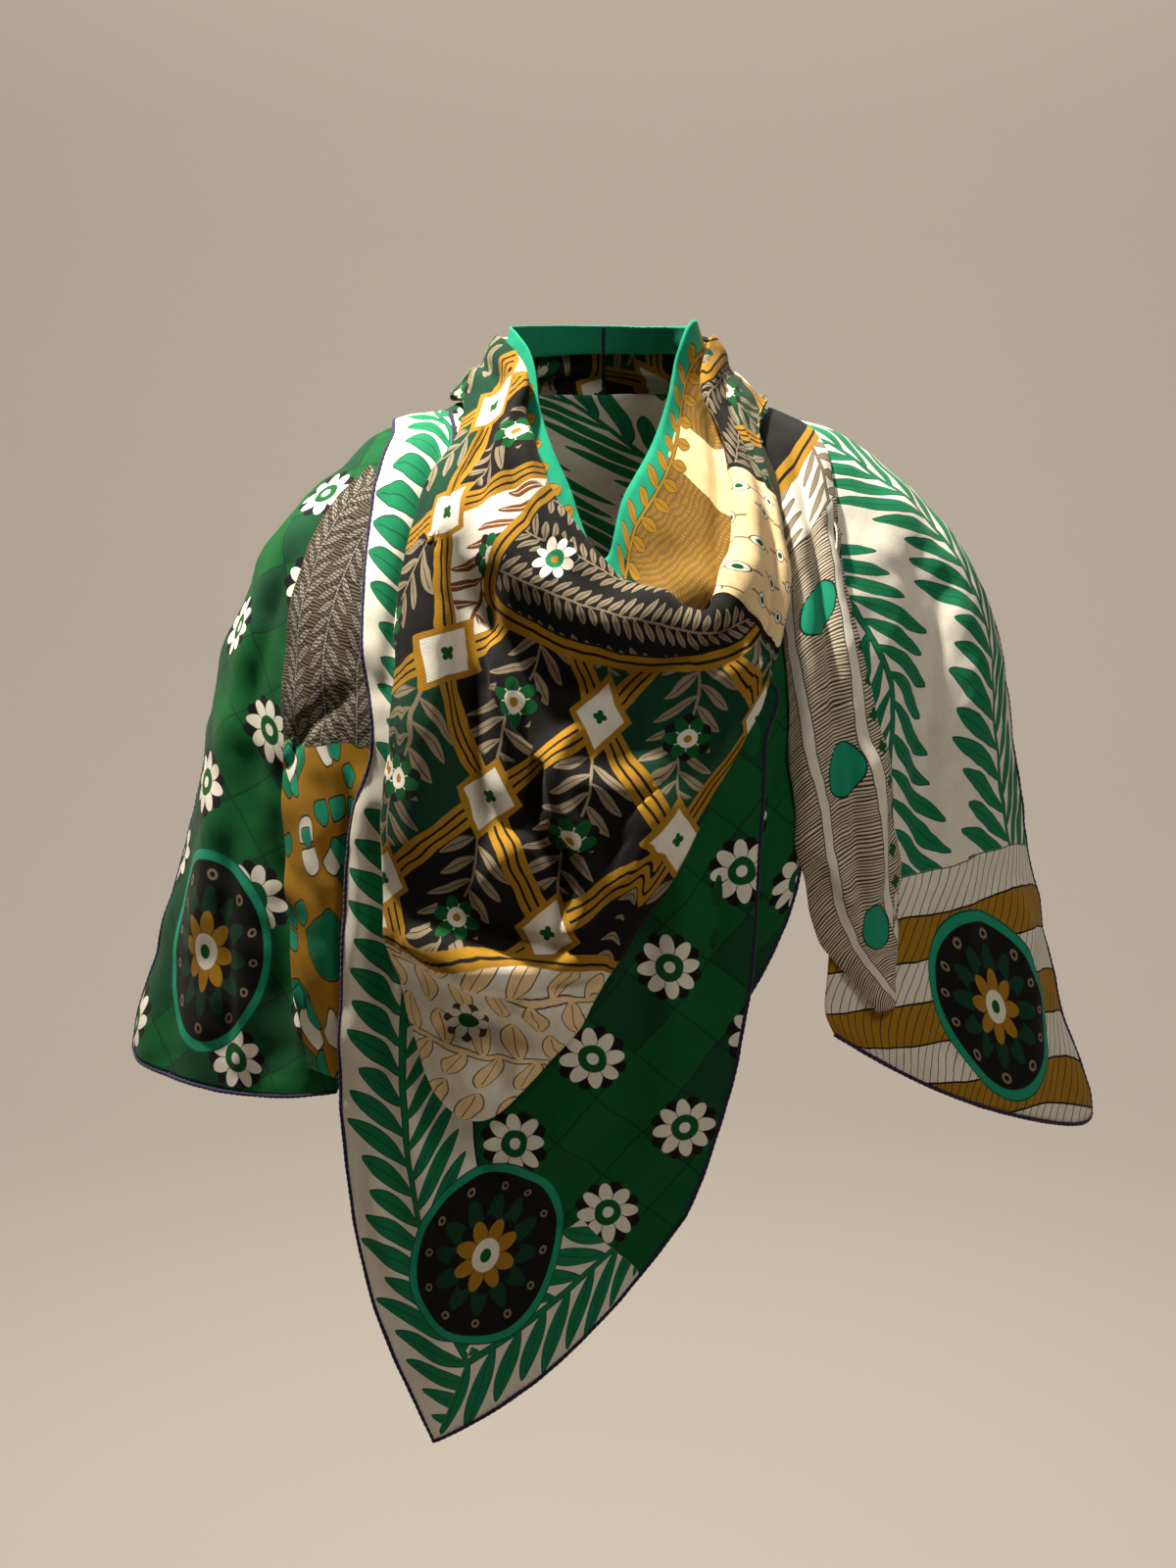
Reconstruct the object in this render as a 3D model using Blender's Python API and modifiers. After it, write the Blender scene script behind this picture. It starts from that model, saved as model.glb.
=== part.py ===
"""Large square shawl of cashmere twill, worn with one corner in front, as thin cloth walls.

The square is folded round an open hollow: one edge lies across the back, its two corners hang over the
upper arms, a third corner hangs in front and the fourth is wound round the neck. Each stretch of cloth
that shows is a wall of its own, lofted through a short table of sections.

Sections are written in the hollow's own coordinates. Azimuth is in degrees, 0 in front and 90 towards
+X. Ring counts down from the neck, a row of HOLLOW for each whole number. Lift is the height of the
cloth above the hollow in millimetres.
"""

import bpy
import numpy as np

MM = 0.001
COLLECTION_NAME = "cashmere_shawl"
CLOTH_THICKNESS = 1.3
SEAM_GAP = 1.0
NAPE_GAP = 2.3
FOLD_GAP = 3.2

# Small step, in rings and degrees, for measuring the hollow's slope.
NUDGE = 0.01

# The open hollow that the cloth hangs round, in millimetres, a row for each ring from the neck down.
# Columns: half width, height at the side, depth in front, height in front, depth behind, height behind.
HOLLOW = np.array([
    (54.5, 72.0, 57.0, 52.0, 66.0, 70.0),
    (70.0, 28.0, 76.0, -5.0, 83.0, 28.0),
    (108.0, 4.0, 96.0, -45.0, 98.0, -6.0),
    (150.0, -10.0, 116.0, -90.0, 112.0, -44.0),
    (190.0, -42.0, 134.0, -138.0, 120.0, -88.0),
    (222.0, -80.0, 147.0, -188.0, 122.0, -132.0),
    (241.0, -130.0, 154.0, -240.0, 118.0, -180.0),
    (254.0, -195.0, 155.0, -300.0, 112.0, -240.0),
    (267.0, -265.0, 151.0, -365.0, 108.0, -305.0),
    (284.0, -345.0, 144.0, -435.0, 104.0, -380.0),
    (302.0, -430.0, 136.0, -515.0, 100.0, -460.0),
    (312.0, -520.0, 128.0, -605.0, 96.0, -550.0),
    (318.0, -620.0, 122.0, -700.0, 92.0, -650.0),
])

# Neck wrap: sections from the inner neck edge, over the rolled rim and down to the lowest swag.
# Columns: (azimuth, ring) at the left nape, left neck, left chest, lowest point, right chest,
# right neck and right nape, then the ring behind, then the lift at the sides, in front and behind.
NECK_WRAP = (
    # neck edge
    ((-54, 0.34), (-35, 0.95), (-14, 1.76), (-1, 2.77), (7, 1.86), (30, 0.95), (60, 0.16),
     0.28, 2.4, 2, 2.6),
    # inner valley
    ((-56, 0.78), (-36, 1.50), (-14, 2.60), (6, 3.60), (19, 4.05), (31, 3.20), (60, 1.02),
     0.72, 3.8, 5, 3.8),
    # rim
    ((-50.5, 0.46), (-35, 1.22), (-12.5, 2.22), (6.5, 3.26), (19, 3.82), (30.5, 2.95), (59, 0.64),
     0.46, 10, 15, 9.5),
    # roll crest
    ((-49, 0.56), (-36.5, 1.44), (-14.5, 2.50), (5, 3.45), (21, 3.78), (31.5, 2.95), (57.5, 0.74),
     0.54, 13.5, 24, 12.5),
    # roll
    ((-50, 0.80), (-38, 1.92), (-16.5, 3.00), (3.5, 3.87), (22.5, 3.97), (33, 3.15), (57, 0.98),
     0.78, 15.5, 27, 14.5),
    # valley under the roll
    ((-55, 1.08), (-38.5, 2.66), (-21.2, 3.95), (-0.6, 4.53), (24.6, 4.32), (34.7, 3.46), (60, 1.32),
     1.06, 14.5, 19, 12.5),
    # upper swag
    ((-57, 1.34), (-35.2, 3.67), (-24.4, 5.42), (-3.8, 6.11), (19.3, 5.00), (34.3, 3.76), (58.8, 1.60),
     1.32, 16.5, 20, 15.5),
    # lower swag
    ((-58, 1.62), (-35, 4.17), (-28.1, 6.55), (-11.1, 7.60), (14.4, 5.66), (33.3, 4.00), (57.4, 1.90),
     1.60, 15, 20, 12.5),
    # lower fold
    ((-60, 1.87), (-35.3, 4.66), (-29.7, 7.26), (-15.2, 8.80), (10.9, 6.19), (32.3, 4.23), (56, 2.16),
     1.87, 11.5, 18, 8.5),
    # turned under
    ((-60, 1.86), (-35.3, 4.65), (-29.7, 7.24), (-15.2, 8.77), (10.9, 6.17), (32.3, 4.21), (56, 2.15),
     1.86, 6.4, 10.8, 4.5),
)
# Rows of wall from each section to the next.
NECK_ROWS = (4, 3, 3, 3, 3, 5, 5, 5, 2)
BACK_AZIMUTHS = (112.0, 180.0, 248.0)
SIDE_STATIONS = (0, 6)
NECK_EDGE, INNER_VALLEY, ROLL_VALLEY, TURNED_UNDER = 0, 1, 5, 9
LEFT_NAPE, LOWEST_POINT, RIGHT_NAPE, ROUND_AGAIN = 0, 3, 6, 10

# Hanging sheets: sections from the top down, as seen from the front.
# Columns: azimuth and ring at the left, azimuth and ring at the right, rings that the middle drops,
# then the lift at the left, in the middle and at the right.
FRONT_POINT = (
    (-100, 2.60, -74, 1.80, 0.00, 3.8, 3.8, 3.6),
    (-75, 2.72, -58, 2.05, 0.00, 4.4, 4.4, 4.2),
    (-60, 3.30, -36, 3.00, 0.00, 7.0, 7.0, 6.5),
    (-48.5, 4.10, -5, 4.00, 0.00, 9.5, 8.5, 8.0),
    (-41, 5.00, 26, 4.70, 0.00, 9.0, 8.0, 8.0),
    (-36.1, 5.80, 24.3, 5.45, 0.00, 8.5, 8.0, 8.0),
    (-37.5, 6.76, 21.8, 6.50, 0.00, 8.0, 8.0, 8.0),
    (-36.8, 7.78, 19.7, 7.60, 0.00, 8.0, 8.0, 8.0),
    (-35.5, 8.80, 16.5, 8.50, 0.02, 8.0, 8.0, 8.0),
    (-32.4, 9.70, 14, 8.98, 0.07, 8.0, 8.0, 8.0),
    (-27.7, 10.62, 12, 9.33, 0.13, 8.0, 8.0, 8.0),
    (-20, 11.46, 9.5, 9.66, 0.19, 8.0, 8.0, 8.0),
)
UNDER_LAYER = (
    (14, 4.20, 37.5, 4.40, 0.00, 5.9, 4.5, 3.0),
    (13, 5.00, 34.8, 5.00, 0.00, 5.9, 4.5, 3.0),
    (12, 5.80, 32.2, 5.67, 0.00, 5.9, 4.5, 3.0),
    (11, 6.50, 29.9, 6.34, 0.00, 5.9, 4.5, 3.0),
    (10, 7.10, 27.5, 6.95, 0.00, 5.9, 4.5, 3.0),
    (9, 7.60, 23.9, 7.44, 0.00, 5.9, 5.0, 3.5),
    (8, 8.10, 18.0, 7.95, 0.00, 5.9, 5.9, 5.5),
)
SHOULDER_LEFT = (
    (-97, 1.70, -60, 1.60, 0.00, 1.2, 1.2, 1.2),
    (-97, 2.70, -58, 2.60, 0.00, -3.0, 1.0, 1.5),
    (-97, 3.70, -52, 3.50, 0.00, -8.0, -1.0, 1.5),
    (-97, 4.90, -44, 4.60, 0.00, -7.0, 0.0, 1.5),
    (-95, 6.10, -38, 5.80, 0.00, -1.0, 2.0, 1.5),
    (-89, 7.05, -36, 6.80, 0.00, 4.0, 3.0, 1.5),
    (-87, 8.10, -35, 7.80, 0.00, 8.0, 3.5, 1.5),
    (-86, 9.00, -34, 8.65, 0.00, 8.0, 3.5, 1.5),
    (-86, 9.62, -36, 9.12, 0.28, 7.0, 3.5, 1.5),
)
STRIP_LEFT = (
    (-67.5, 3.20, -60, 3.20, 0.00, 3.8, 4.2, 4.2),
    (-66, 3.86, -50, 3.90, 0.00, 4.8, 5.8, 5.8),
    (-60.3, 4.86, -39, 4.90, 0.00, 5.0, 6.2, 6.0),
    (-55.4, 5.90, -33.5, 5.90, 0.00, 5.0, 6.2, 6.0),
    (-52, 6.78, -34.5, 6.78, 0.00, 5.0, 6.2, 6.0),
    (-48.6, 7.61, -34, 7.61, 0.00, 5.0, 6.2, 6.0),
    (-44.7, 8.37, -33, 8.37, 0.00, 5.0, 6.2, 6.0),
    (-40.4, 9.01, -32, 8.95, 0.00, 5.0, 6.2, 6.0),
)
SHOULDER_RIGHT = (
    (62, 1.55, 97, 1.60, 0.00, 1.2, 1.2, 1.2),
    (56, 2.60, 97, 2.70, 0.00, 1.5, 1.5, 2.0),
    (50, 3.40, 97, 3.60, 0.00, 1.5, 1.5, 3.0),
    (43, 4.50, 96, 4.70, 0.00, 1.5, 2.5, 6.0),
    (38, 5.50, 95, 5.70, 0.00, 1.5, 3.0, 9.0),
    (35, 6.40, 90, 6.50, 0.00, 1.5, 3.0, 11.0),
    (33, 7.20, 87, 7.40, 0.00, 1.5, 2.5, 8.0),
    (31, 7.90, 86, 8.25, 0.00, 1.5, 2.5, 6.0),
    (30, 8.25, 86, 9.20, 0.25, 1.5, 2.5, 6.0),
    (31, 8.50, 86, 10.15, 0.50, 1.5, 3.5, 9.0),
)
BUNDLE_RIGHT = (
    (66, 1.90, 90, 1.90, 0.00, 3.4, 3.4, 3.4),
    (56, 2.35, 78, 2.55, 0.00, 4.4, 5.8, 4.4),
    (46, 3.10, 60, 3.30, 0.00, 5.0, 11.0, 4.9),
    (37.5, 3.80, 50, 4.00, 0.00, 5.5, 12.0, 4.2),
    (31.5, 4.60, 44, 4.90, 0.00, 6.5, 15.0, 4.2),
    (28.5, 5.50, 42.5, 5.80, 0.00, 7.0, 16.0, 4.2),
    (28.3, 6.37, 44, 6.70, 0.00, 6.0, 16.0, 4.2),
    (28.5, 7.00, 44.5, 7.30, 0.00, 5.5, 15.0, 4.2),
    (30.3, 7.58, 43, 7.80, 0.00, 5.0, 14.0, 4.2),
    (34.1, 8.06, 41.5, 8.20, 0.00, 5.0, 11.0, 4.2),
    (38.0, 8.45, 40.5, 8.50, 0.00, 4.5, 6.0, 4.2),
)
BACK_DRAPE = (
    (97, 1.60, 263, 1.70, -0.20, 1.2, 1.6, 1.2),
    (97, 2.70, 263, 2.70, 0.00, 2.0, 3.0, -3.0),
    (97, 3.60, 263, 3.70, 0.10, 3.0, 5.0, -8.0),
    (96, 4.70, 263, 4.90, 0.40, 6.0, 6.0, -7.0),
    (95, 5.70, 265, 6.10, 1.10, 9.0, 8.0, -1.0),
)

# Large folds, as soft ridges (height above 0) and troughs (below 0) between two places seen from the
# front, or from the front through the shawl for the back.
# Columns: x and z of the start, x and z of the end, sideways bow, half width and height, in millimetres.
FOLDS = {
    "upper_drape": (
        (-112, -70, -121, -255, 6, 15, 9.0),
        (-90, -95, -66, -190, -8, 11, -7.0),
        (-75, -140, 25, -212, -24, 13, 10.0),
        (-88, -215, 15, -248, -14, 11, -7.0),
        (-112, -292, 5, -318, -22, 14, 9.0),
        (10, -222, 70, -168, -8, 10, -5.0),
        (-74, -340, -76, -395, 3, 11, 5.0),
        (55, -150, 90, -135, -4, 12, 5.0),
    ),
    "front_point": (
        (-150, -225, -152, -420, -4, 9, 4.0),
        (-124, -425, -112, -500, 4, 10, 5.0),
        (-72, -490, -8, -426, 5, 14, 7.0),
        (-92, -455, -108, -610, 4, 13, 5.0),
        (40, -330, 30, -450, 6, 16, 5.0),
    ),
    "shoulder_left": (
        (-212, -110, -212, -400, 4, 12, -6.0),
        (-236, -130, -250, -390, -4, 14, 6.0),
        (-185, -48, -236, -200, -6, 12, 4.0),
    ),
    "shoulder_right": (
        (200, -70, 203, -270, 0, 14, -8.0),
        (232, -105, 245, -400, 5, 15, 5.0),
        (262, -290, 270, -425, 0, 12, 5.0),
    ),
    "back_drape": (
        (-70, -60, -125, -230, 8, 17, 11.0),
        (-28, -70, -52, -270, 4, 18, 10.0),
        (22, -75, 26, -280, 0, 17, 12.0),
        (70, -60, 112, -240, -8, 18, 10.0),
        (110, -45, 185, -160, -8, 16, 6.0),
        (-110, -45, -185, -170, 8, 16, 6.0),
    ),
}

# One row a node: colour, roughness.
FINISHES = {
    "collar_left": ((0.02, 0.33, 0.20), 0.80),
    "collar_right": ((0.62, 0.45, 0.24), 0.80),
    "cowl_roll": ((0.02, 0.02, 0.02), 0.78),
    "upper_drape": ((0.30, 0.17, 0.03), 0.78),
    "nape_wrap": ((0.03, 0.03, 0.02), 0.80),
    "front_point": ((0.02, 0.17, 0.05), 0.80),
    "under_layer": ((0.02, 0.15, 0.05), 0.82),
    "shoulder_left": ((0.02, 0.20, 0.06), 0.80),
    "strip_left": ((0.30, 0.20, 0.08), 0.80),
    "shoulder_right": ((0.66, 0.62, 0.50), 0.80),
    "bundle_right": ((0.35, 0.33, 0.27), 0.80),
    "back_drape": ((0.55, 0.52, 0.42), 0.80),
}


def spline(table, where):
    """Values of a table at fractional row numbers, along a smooth curve through its rows."""
    last = len(table) - 1
    low = np.minimum(np.floor(where).astype(int), last - 1)
    part = (where - low).reshape(where.shape + (1,) * (table.ndim - 1))
    start = table[low]
    end = table[low + 1]
    before = np.where((low == 0).reshape(part.shape), 2 * start - end, table[np.maximum(low - 1, 0)])
    beyond = table[np.minimum(low + 2, last)]
    after = np.where((low == last - 1).reshape(part.shape), 2 * end - start, beyond)
    slope = (end - before) * part
    bend = (2 * before - 5 * start + 4 * end - after) * part ** 2
    twist = (3 * start - before - 3 * end + after) * part ** 3
    return 0.5 * (2 * start + slope + bend + twist)


def bare_hollow(azimuth, ring):
    """Points in millimetres on the hollow itself."""
    rows = spline(HOLLOW, np.clip(ring, 0, len(HOLLOW) - 1))
    half_width, side_z, front_y, front_z, back_y, back_z = np.moveaxis(rows, -1, 0)
    cosine = np.cos(np.radians(azimuth))
    sine = np.sin(np.radians(azimuth))
    depth = np.where(cosine > 0, front_y, back_y)
    middle_z = np.where(cosine > 0, front_z, back_z)
    height = side_z + (middle_z - side_z) * cosine ** 2
    return np.stack([half_width * sine, -depth * cosine, height], axis=-1)


def on_hollow(places):
    """Points in millimetres, lifted squarely off the hollow; the last axis holds azimuth, ring and lift."""
    azimuth, ring, lift = np.moveaxis(places, -1, 0)
    ring = np.clip(ring, NUDGE, len(HOLLOW) - 1 - NUDGE)
    along = bare_hollow(azimuth, ring + NUDGE) - bare_hollow(azimuth, ring - NUDGE)
    around = bare_hollow(azimuth + NUDGE, ring) - bare_hollow(azimuth - NUDGE, ring)
    outward = np.cross(along, around)
    outward /= np.linalg.norm(outward, axis=-1, keepdims=True)
    return bare_hollow(azimuth, ring) + outward * lift[..., None]


def fold_height(points, folds):
    """Summed height of soft ridges and troughs at each point, from its distance to each fold's line."""
    height = np.zeros(points.shape[:2])
    seen = points[..., (0, 2)]
    for start_x, start_z, end_x, end_z, bow, half_width, rise in folds:
        start = np.array((start_x, start_z))
        run = np.array((end_x - start_x, end_z - start_z))
        length = np.linalg.norm(run)
        offset = seen - start
        along = offset @ run / length ** 2
        inside = np.clip(along, 0, 1)
        across = (offset[..., 1] * run[0] - offset[..., 0] * run[1]) / length
        across -= 4 * bow * inside * (1 - inside)
        beyond = (along - inside) * length
        distance = np.hypot(across, beyond) / half_width
        height += rise * np.exp(-distance ** 2) * (0.35 + 0.65 * np.sin(np.pi * inside) ** 0.5)
    return height


def raised(places, folds):
    """Points of a sheet with its folds added to its lift."""
    lifted = places.copy()
    lifted[..., 2] += fold_height(on_hollow(places), folds)
    return on_hollow(lifted)


def hanging_sheet(sections, rows, columns, folds):
    """Grid of points through a table of hanging sections, rows down and columns across."""
    down = spline(np.array(sections, float), np.linspace(0, len(sections) - 1, rows))[:, None, :]
    across = np.linspace(0, 1, columns)[None, :]
    left_azimuth, left_ring, right_azimuth, right_ring, drop, left, middle, right = np.moveaxis(down, -1, 0)
    azimuth = left_azimuth + (right_azimuth - left_azimuth) * across
    ring = left_ring + (right_ring - left_ring) * across + 4 * drop * across * (1 - across)
    bulge = 2 * (2 * middle - left - right) * across * (1 - across)
    lift = left + (right - left) * across + bulge
    return raised(np.stack([azimuth, ring, lift], axis=-1), folds)


def neck_stations():
    """Places of the neck wrap, a row for each section, a column for each station once round."""
    table = []
    for *stations, back_ring, side_lift, front_lift, back_lift in NECK_WRAP:
        row = []
        for number, (azimuth, ring) in enumerate(stations):
            row.append((azimuth, ring, side_lift if number in SIDE_STATIONS else front_lift))
        for azimuth in BACK_AZIMUTHS:
            row.append((azimuth, back_ring, back_lift))
        table.append(row)
    return np.array(table, float)


def neck_stretch(section_span, station_span, columns, folds):
    """Grid of points of the neck wrap between two sections and between two stations."""
    first, last = section_span
    steps = [number + np.arange(NECK_ROWS[number]) / NECK_ROWS[number] for number in range(first, last)]
    table = neck_stations()
    turn = np.array((360.0, 0.0, 0.0))
    table = np.concatenate([table[:, -2:] - turn, table, table[:, :3] + turn], axis=1)
    sections = spline(table, np.concatenate(steps + [[last]]))
    stations = 2 + np.linspace(*station_span, columns)
    places = spline(np.swapaxes(sections, 0, 1), stations)
    return raised(np.swapaxes(places, 0, 1), folds)


def pulled_back(grid, gaps):
    """A grid whose top, bottom, left and right edges are drawn in by half of each gap."""
    top, bottom, left, right = gaps
    drawn = grid.copy()
    for gap, edge, inner in ((top, 0, 1), (bottom, -1, -2)):
        step = drawn[inner] - drawn[edge]
        drawn[edge] += step / np.linalg.norm(step, axis=-1, keepdims=True) * gap / 2
    for gap, edge, inner in ((left, 0, 1), (right, -1, -2)):
        step = drawn[:, inner] - drawn[:, edge]
        drawn[:, edge] += step / np.linalg.norm(step, axis=-1, keepdims=True) * gap / 2
    return drawn


def cloth_wall(name, grid, collection):
    """Object for one stretch: the grid as an open surface, thickened to the cloth's own wall."""
    rows, columns = grid.shape[:2]
    corner = np.arange(rows * columns).reshape(rows, columns)
    faces = np.stack([corner[:-1, :-1], corner[1:, :-1], corner[1:, 1:], corner[:-1, 1:]], axis=-1)
    mesh = bpy.data.meshes.new(name)
    mesh.from_pydata((grid.reshape(-1, 3) * MM).tolist(), [], faces.reshape(-1, 4).tolist())
    mesh.shade_smooth()
    colour, roughness = FINISHES[name]
    mesh.materials.append(cloth_material(name, colour, roughness))
    wall = bpy.data.objects.new(name, mesh)
    collection.objects.link(wall)
    thickness = wall.modifiers.new("cloth_thickness", "SOLIDIFY")
    thickness.thickness = CLOTH_THICKNESS * MM
    thickness.offset = 0.0
    return wall


def cloth_material(name, colour, roughness):
    """Matt cloth material in one stretch's main colour."""
    material = bpy.data.materials.new(name + "_cloth")
    material.use_nodes = True
    shader = material.node_tree.nodes["Principled BSDF"]
    shader.inputs["Base Color"].default_value = (*colour, 1.0)
    shader.inputs["Roughness"].default_value = roughness
    shader.inputs["Metallic"].default_value = 0.0
    return material


def clear_scene():
    """Empty the scene before modelling."""
    for item in list(bpy.data.objects):
        bpy.data.objects.remove(item)


def build():
    """Make every stretch of the shawl."""
    clear_scene()
    collection = bpy.data.collections.new(COLLECTION_NAME)
    bpy.context.scene.collection.children.link(collection)
    swag_folds = FOLDS["upper_drape"]
    inner_turn = (NECK_EDGE, INNER_VALLEY)
    front_half = (LEFT_NAPE, RIGHT_NAPE)
    neck_walls = {
        "collar_left": (inner_turn, (LEFT_NAPE, LOWEST_POINT), 14, (0, FOLD_GAP, NAPE_GAP, FOLD_GAP)),
        "collar_right": (inner_turn, (LOWEST_POINT, RIGHT_NAPE), 14, (0, FOLD_GAP, FOLD_GAP, NAPE_GAP)),
        "cowl_roll": ((INNER_VALLEY, ROLL_VALLEY), front_half, 27, (FOLD_GAP, FOLD_GAP, NAPE_GAP, NAPE_GAP)),
        "upper_drape": ((ROLL_VALLEY, TURNED_UNDER), front_half, 27, (0, 0, NAPE_GAP, NAPE_GAP)),
        "nape_wrap": ((NECK_EDGE, TURNED_UNDER), (RIGHT_NAPE, ROUND_AGAIN), 17, (0, 0, NAPE_GAP, NAPE_GAP)),
    }
    for name, (section_span, station_span, columns, gaps) in neck_walls.items():
        grid = neck_stretch(section_span, station_span, columns, swag_folds)
        cloth_wall(name, pulled_back(grid, gaps), collection)
    sheets = {
        "front_point": (FRONT_POINT, 30, 16, (0, 0, 0, 0)),
        "under_layer": (UNDER_LAYER, 14, 6, (0, 0, 0, 0)),
        "shoulder_left": (SHOULDER_LEFT, 22, 15, (0, 0, SEAM_GAP, 0)),
        "strip_left": (STRIP_LEFT, 15, 5, (0, 0, 0, 0)),
        "shoulder_right": (SHOULDER_RIGHT, 22, 15, (0, 0, 0, SEAM_GAP)),
        "bundle_right": (BUNDLE_RIGHT, 18, 7, (0, 0, 0, 0)),
        "back_drape": (BACK_DRAPE, 13, 23, (0, 0, SEAM_GAP, SEAM_GAP)),
    }
    for name, (sections, rows, columns, gaps) in sheets.items():
        grid = hanging_sheet(sections, rows, columns, FOLDS.get(name, ()))
        cloth_wall(name, pulled_back(grid, gaps), collection)


build()
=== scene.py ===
"""Printed square shawl of fine wool twill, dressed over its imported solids.

Each piece of cloth is a surface worked out on a grid. Its place is written in the coordinates of the open
hollow that it hangs round: azimuth in degrees, 0 in front and 90 towards +X; ring, counted down from the
neck; and lift, the height above the hollow in millimetres. Folds and creases are soft ridges and troughs
added along the surface's normal. Each piece keeps two UV maps in millimetres of cloth: "cloth" runs with
the weave, and "hem" holds the distances to a side border and to the lower border.
"""

from functools import partialmethod

import bmesh
import bpy
import numpy as np
from bpy.props import FloatProperty, FloatVectorProperty, PointerProperty
from bpy.types import Operator, Panel, PropertyGroup
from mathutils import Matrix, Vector


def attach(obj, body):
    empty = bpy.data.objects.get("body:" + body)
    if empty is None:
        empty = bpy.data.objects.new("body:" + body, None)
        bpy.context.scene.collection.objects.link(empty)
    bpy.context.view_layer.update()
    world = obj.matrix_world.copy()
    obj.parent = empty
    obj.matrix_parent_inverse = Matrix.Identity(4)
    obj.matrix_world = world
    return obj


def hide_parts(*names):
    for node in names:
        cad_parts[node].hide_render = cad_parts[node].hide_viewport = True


bl_info = {
    "name": "Printed Shawl",
    "version": (1, 0, 0),
    "blender": (4, 5, 0),
    "location": "View3D > Sidebar > Shawl",
    "description": "Large printed twill shawl, worn with one corner in front",
    "category": "Object",
}

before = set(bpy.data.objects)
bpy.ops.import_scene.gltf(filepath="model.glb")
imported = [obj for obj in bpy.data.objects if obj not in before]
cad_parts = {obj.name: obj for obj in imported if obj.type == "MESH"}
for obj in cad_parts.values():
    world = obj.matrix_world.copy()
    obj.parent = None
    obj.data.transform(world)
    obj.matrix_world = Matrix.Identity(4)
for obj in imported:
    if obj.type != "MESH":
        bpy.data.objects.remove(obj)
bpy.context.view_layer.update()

MM = 0.001

# Sockets of a colour Mix node.
MIX_FACTOR, MIX_UNDER, MIX_OVER, MIX_RESULT = 0, 6, 7, 2

# Small step, in rings and degrees, for measuring the hollow's slope.
NUDGE = 0.01
# Least length that a vector is divided by.
TINY = 1e-9
# Share of a fold's height that is left at its two ends.
END_SHARE = 0.35
# How far each round moves the spring net of a flat cut, as a share of the mean pull.
NET_HASTE = 1.6
# Distance over which creases fade in beside a seam, in millimetres.
SEAM_CALM = 30.0
# Depth over which the creases seen from the front fade out behind, in millimetres.
CREASE_FADE = 50.0
# Points this close are joined where two panels meet, in millimetres.
SEAM_REACH = 0.02
# Reach of the pull that draws out a shoulder's corner, in millimetres.
CORNER_REACH = 46.0
# Step along a rolled hem in millimetres, and its sides.
HEM_STEP, HEM_SIDES = 0.9, 10

# A lattice cell is green where its random number is above this.
GREEN_ABOVE = 0.55
# Place across the cloth of the one column with pale cells, in millimetres.
PALE_COLUMN = -104.0

# Camera: place looked at and distance in metres, elevation in degrees, lens and sensor in millimetres.
CAMERA_TARGET = (-0.011, 0.0, -0.236)
CAMERA_DISTANCE, CAMERA_ELEVATION, CAMERA_LENS, CAMERA_SENSOR = 2.2, 9.0, 77.34, 36.0

# Square lights: name, place and target in metres, size, power in watts and colour.
LIGHTS = (
    ("key", (-0.50, -0.02, 1.38), (0.0, -0.05, -0.20), 0.10, 92.0, (1.0, 0.94, 0.84)),
    ("fill", (0.95, -1.25, 1.35), (0.1, 0.0, -0.25), 0.5, 14.0, (1.0, 0.95, 0.88)),
    ("rear", (0.6, 2.2, 1.5), (0.0, 0.0, -0.2), 1.2, 18.0, (1.0, 0.95, 0.88)),
    ("wall", (0.0, 1.8, 2.3), (0.0, 4.4, -0.6), 1.6, 165.0, (1.0, 0.95, 0.88)),
)
WORLD_COLOUR, WORLD_STRENGTH = (1.0, 0.94, 0.86, 1.0), 0.06
FLOOR_COLOUR = (0.33, 0.295, 0.26, 1.0)
# Floor in metres: depth below the origin, flat radius, radius of its upswept curve and height of its rim.
FLOOR_DROP, FLOOR_FLAT, FLOOR_CURVE, FLOOR_RIM = 1.25, 3.0, 1.6, 2.6

# The open hollow that the cloth hangs round, in millimetres, a row for each ring from the neck down.
# Columns: half width, height at the side, depth in front, height in front, depth behind, height behind.
HOLLOW = np.array([
    (54.5, 72, 57, 52, 66, 70),
    (70, 28, 76, -5, 83, 28),
    (108, 4, 96, -45, 98, -6),
    (150, -10, 116, -90, 112, -44),
    (190, -42, 134, -138, 120, -88),
    (222, -80, 147, -188, 122, -132),
    (241, -130, 154, -240, 118, -180),
    (254, -195, 155, -300, 112, -240),
    (267, -265, 151, -365, 108, -305),
    (284, -345, 144, -435, 104, -380),
    (302, -430, 136, -515, 100, -460),
    (312, -520, 128, -605, 96, -550),
    (318, -620, 122, -700, 92, -650),
])

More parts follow.
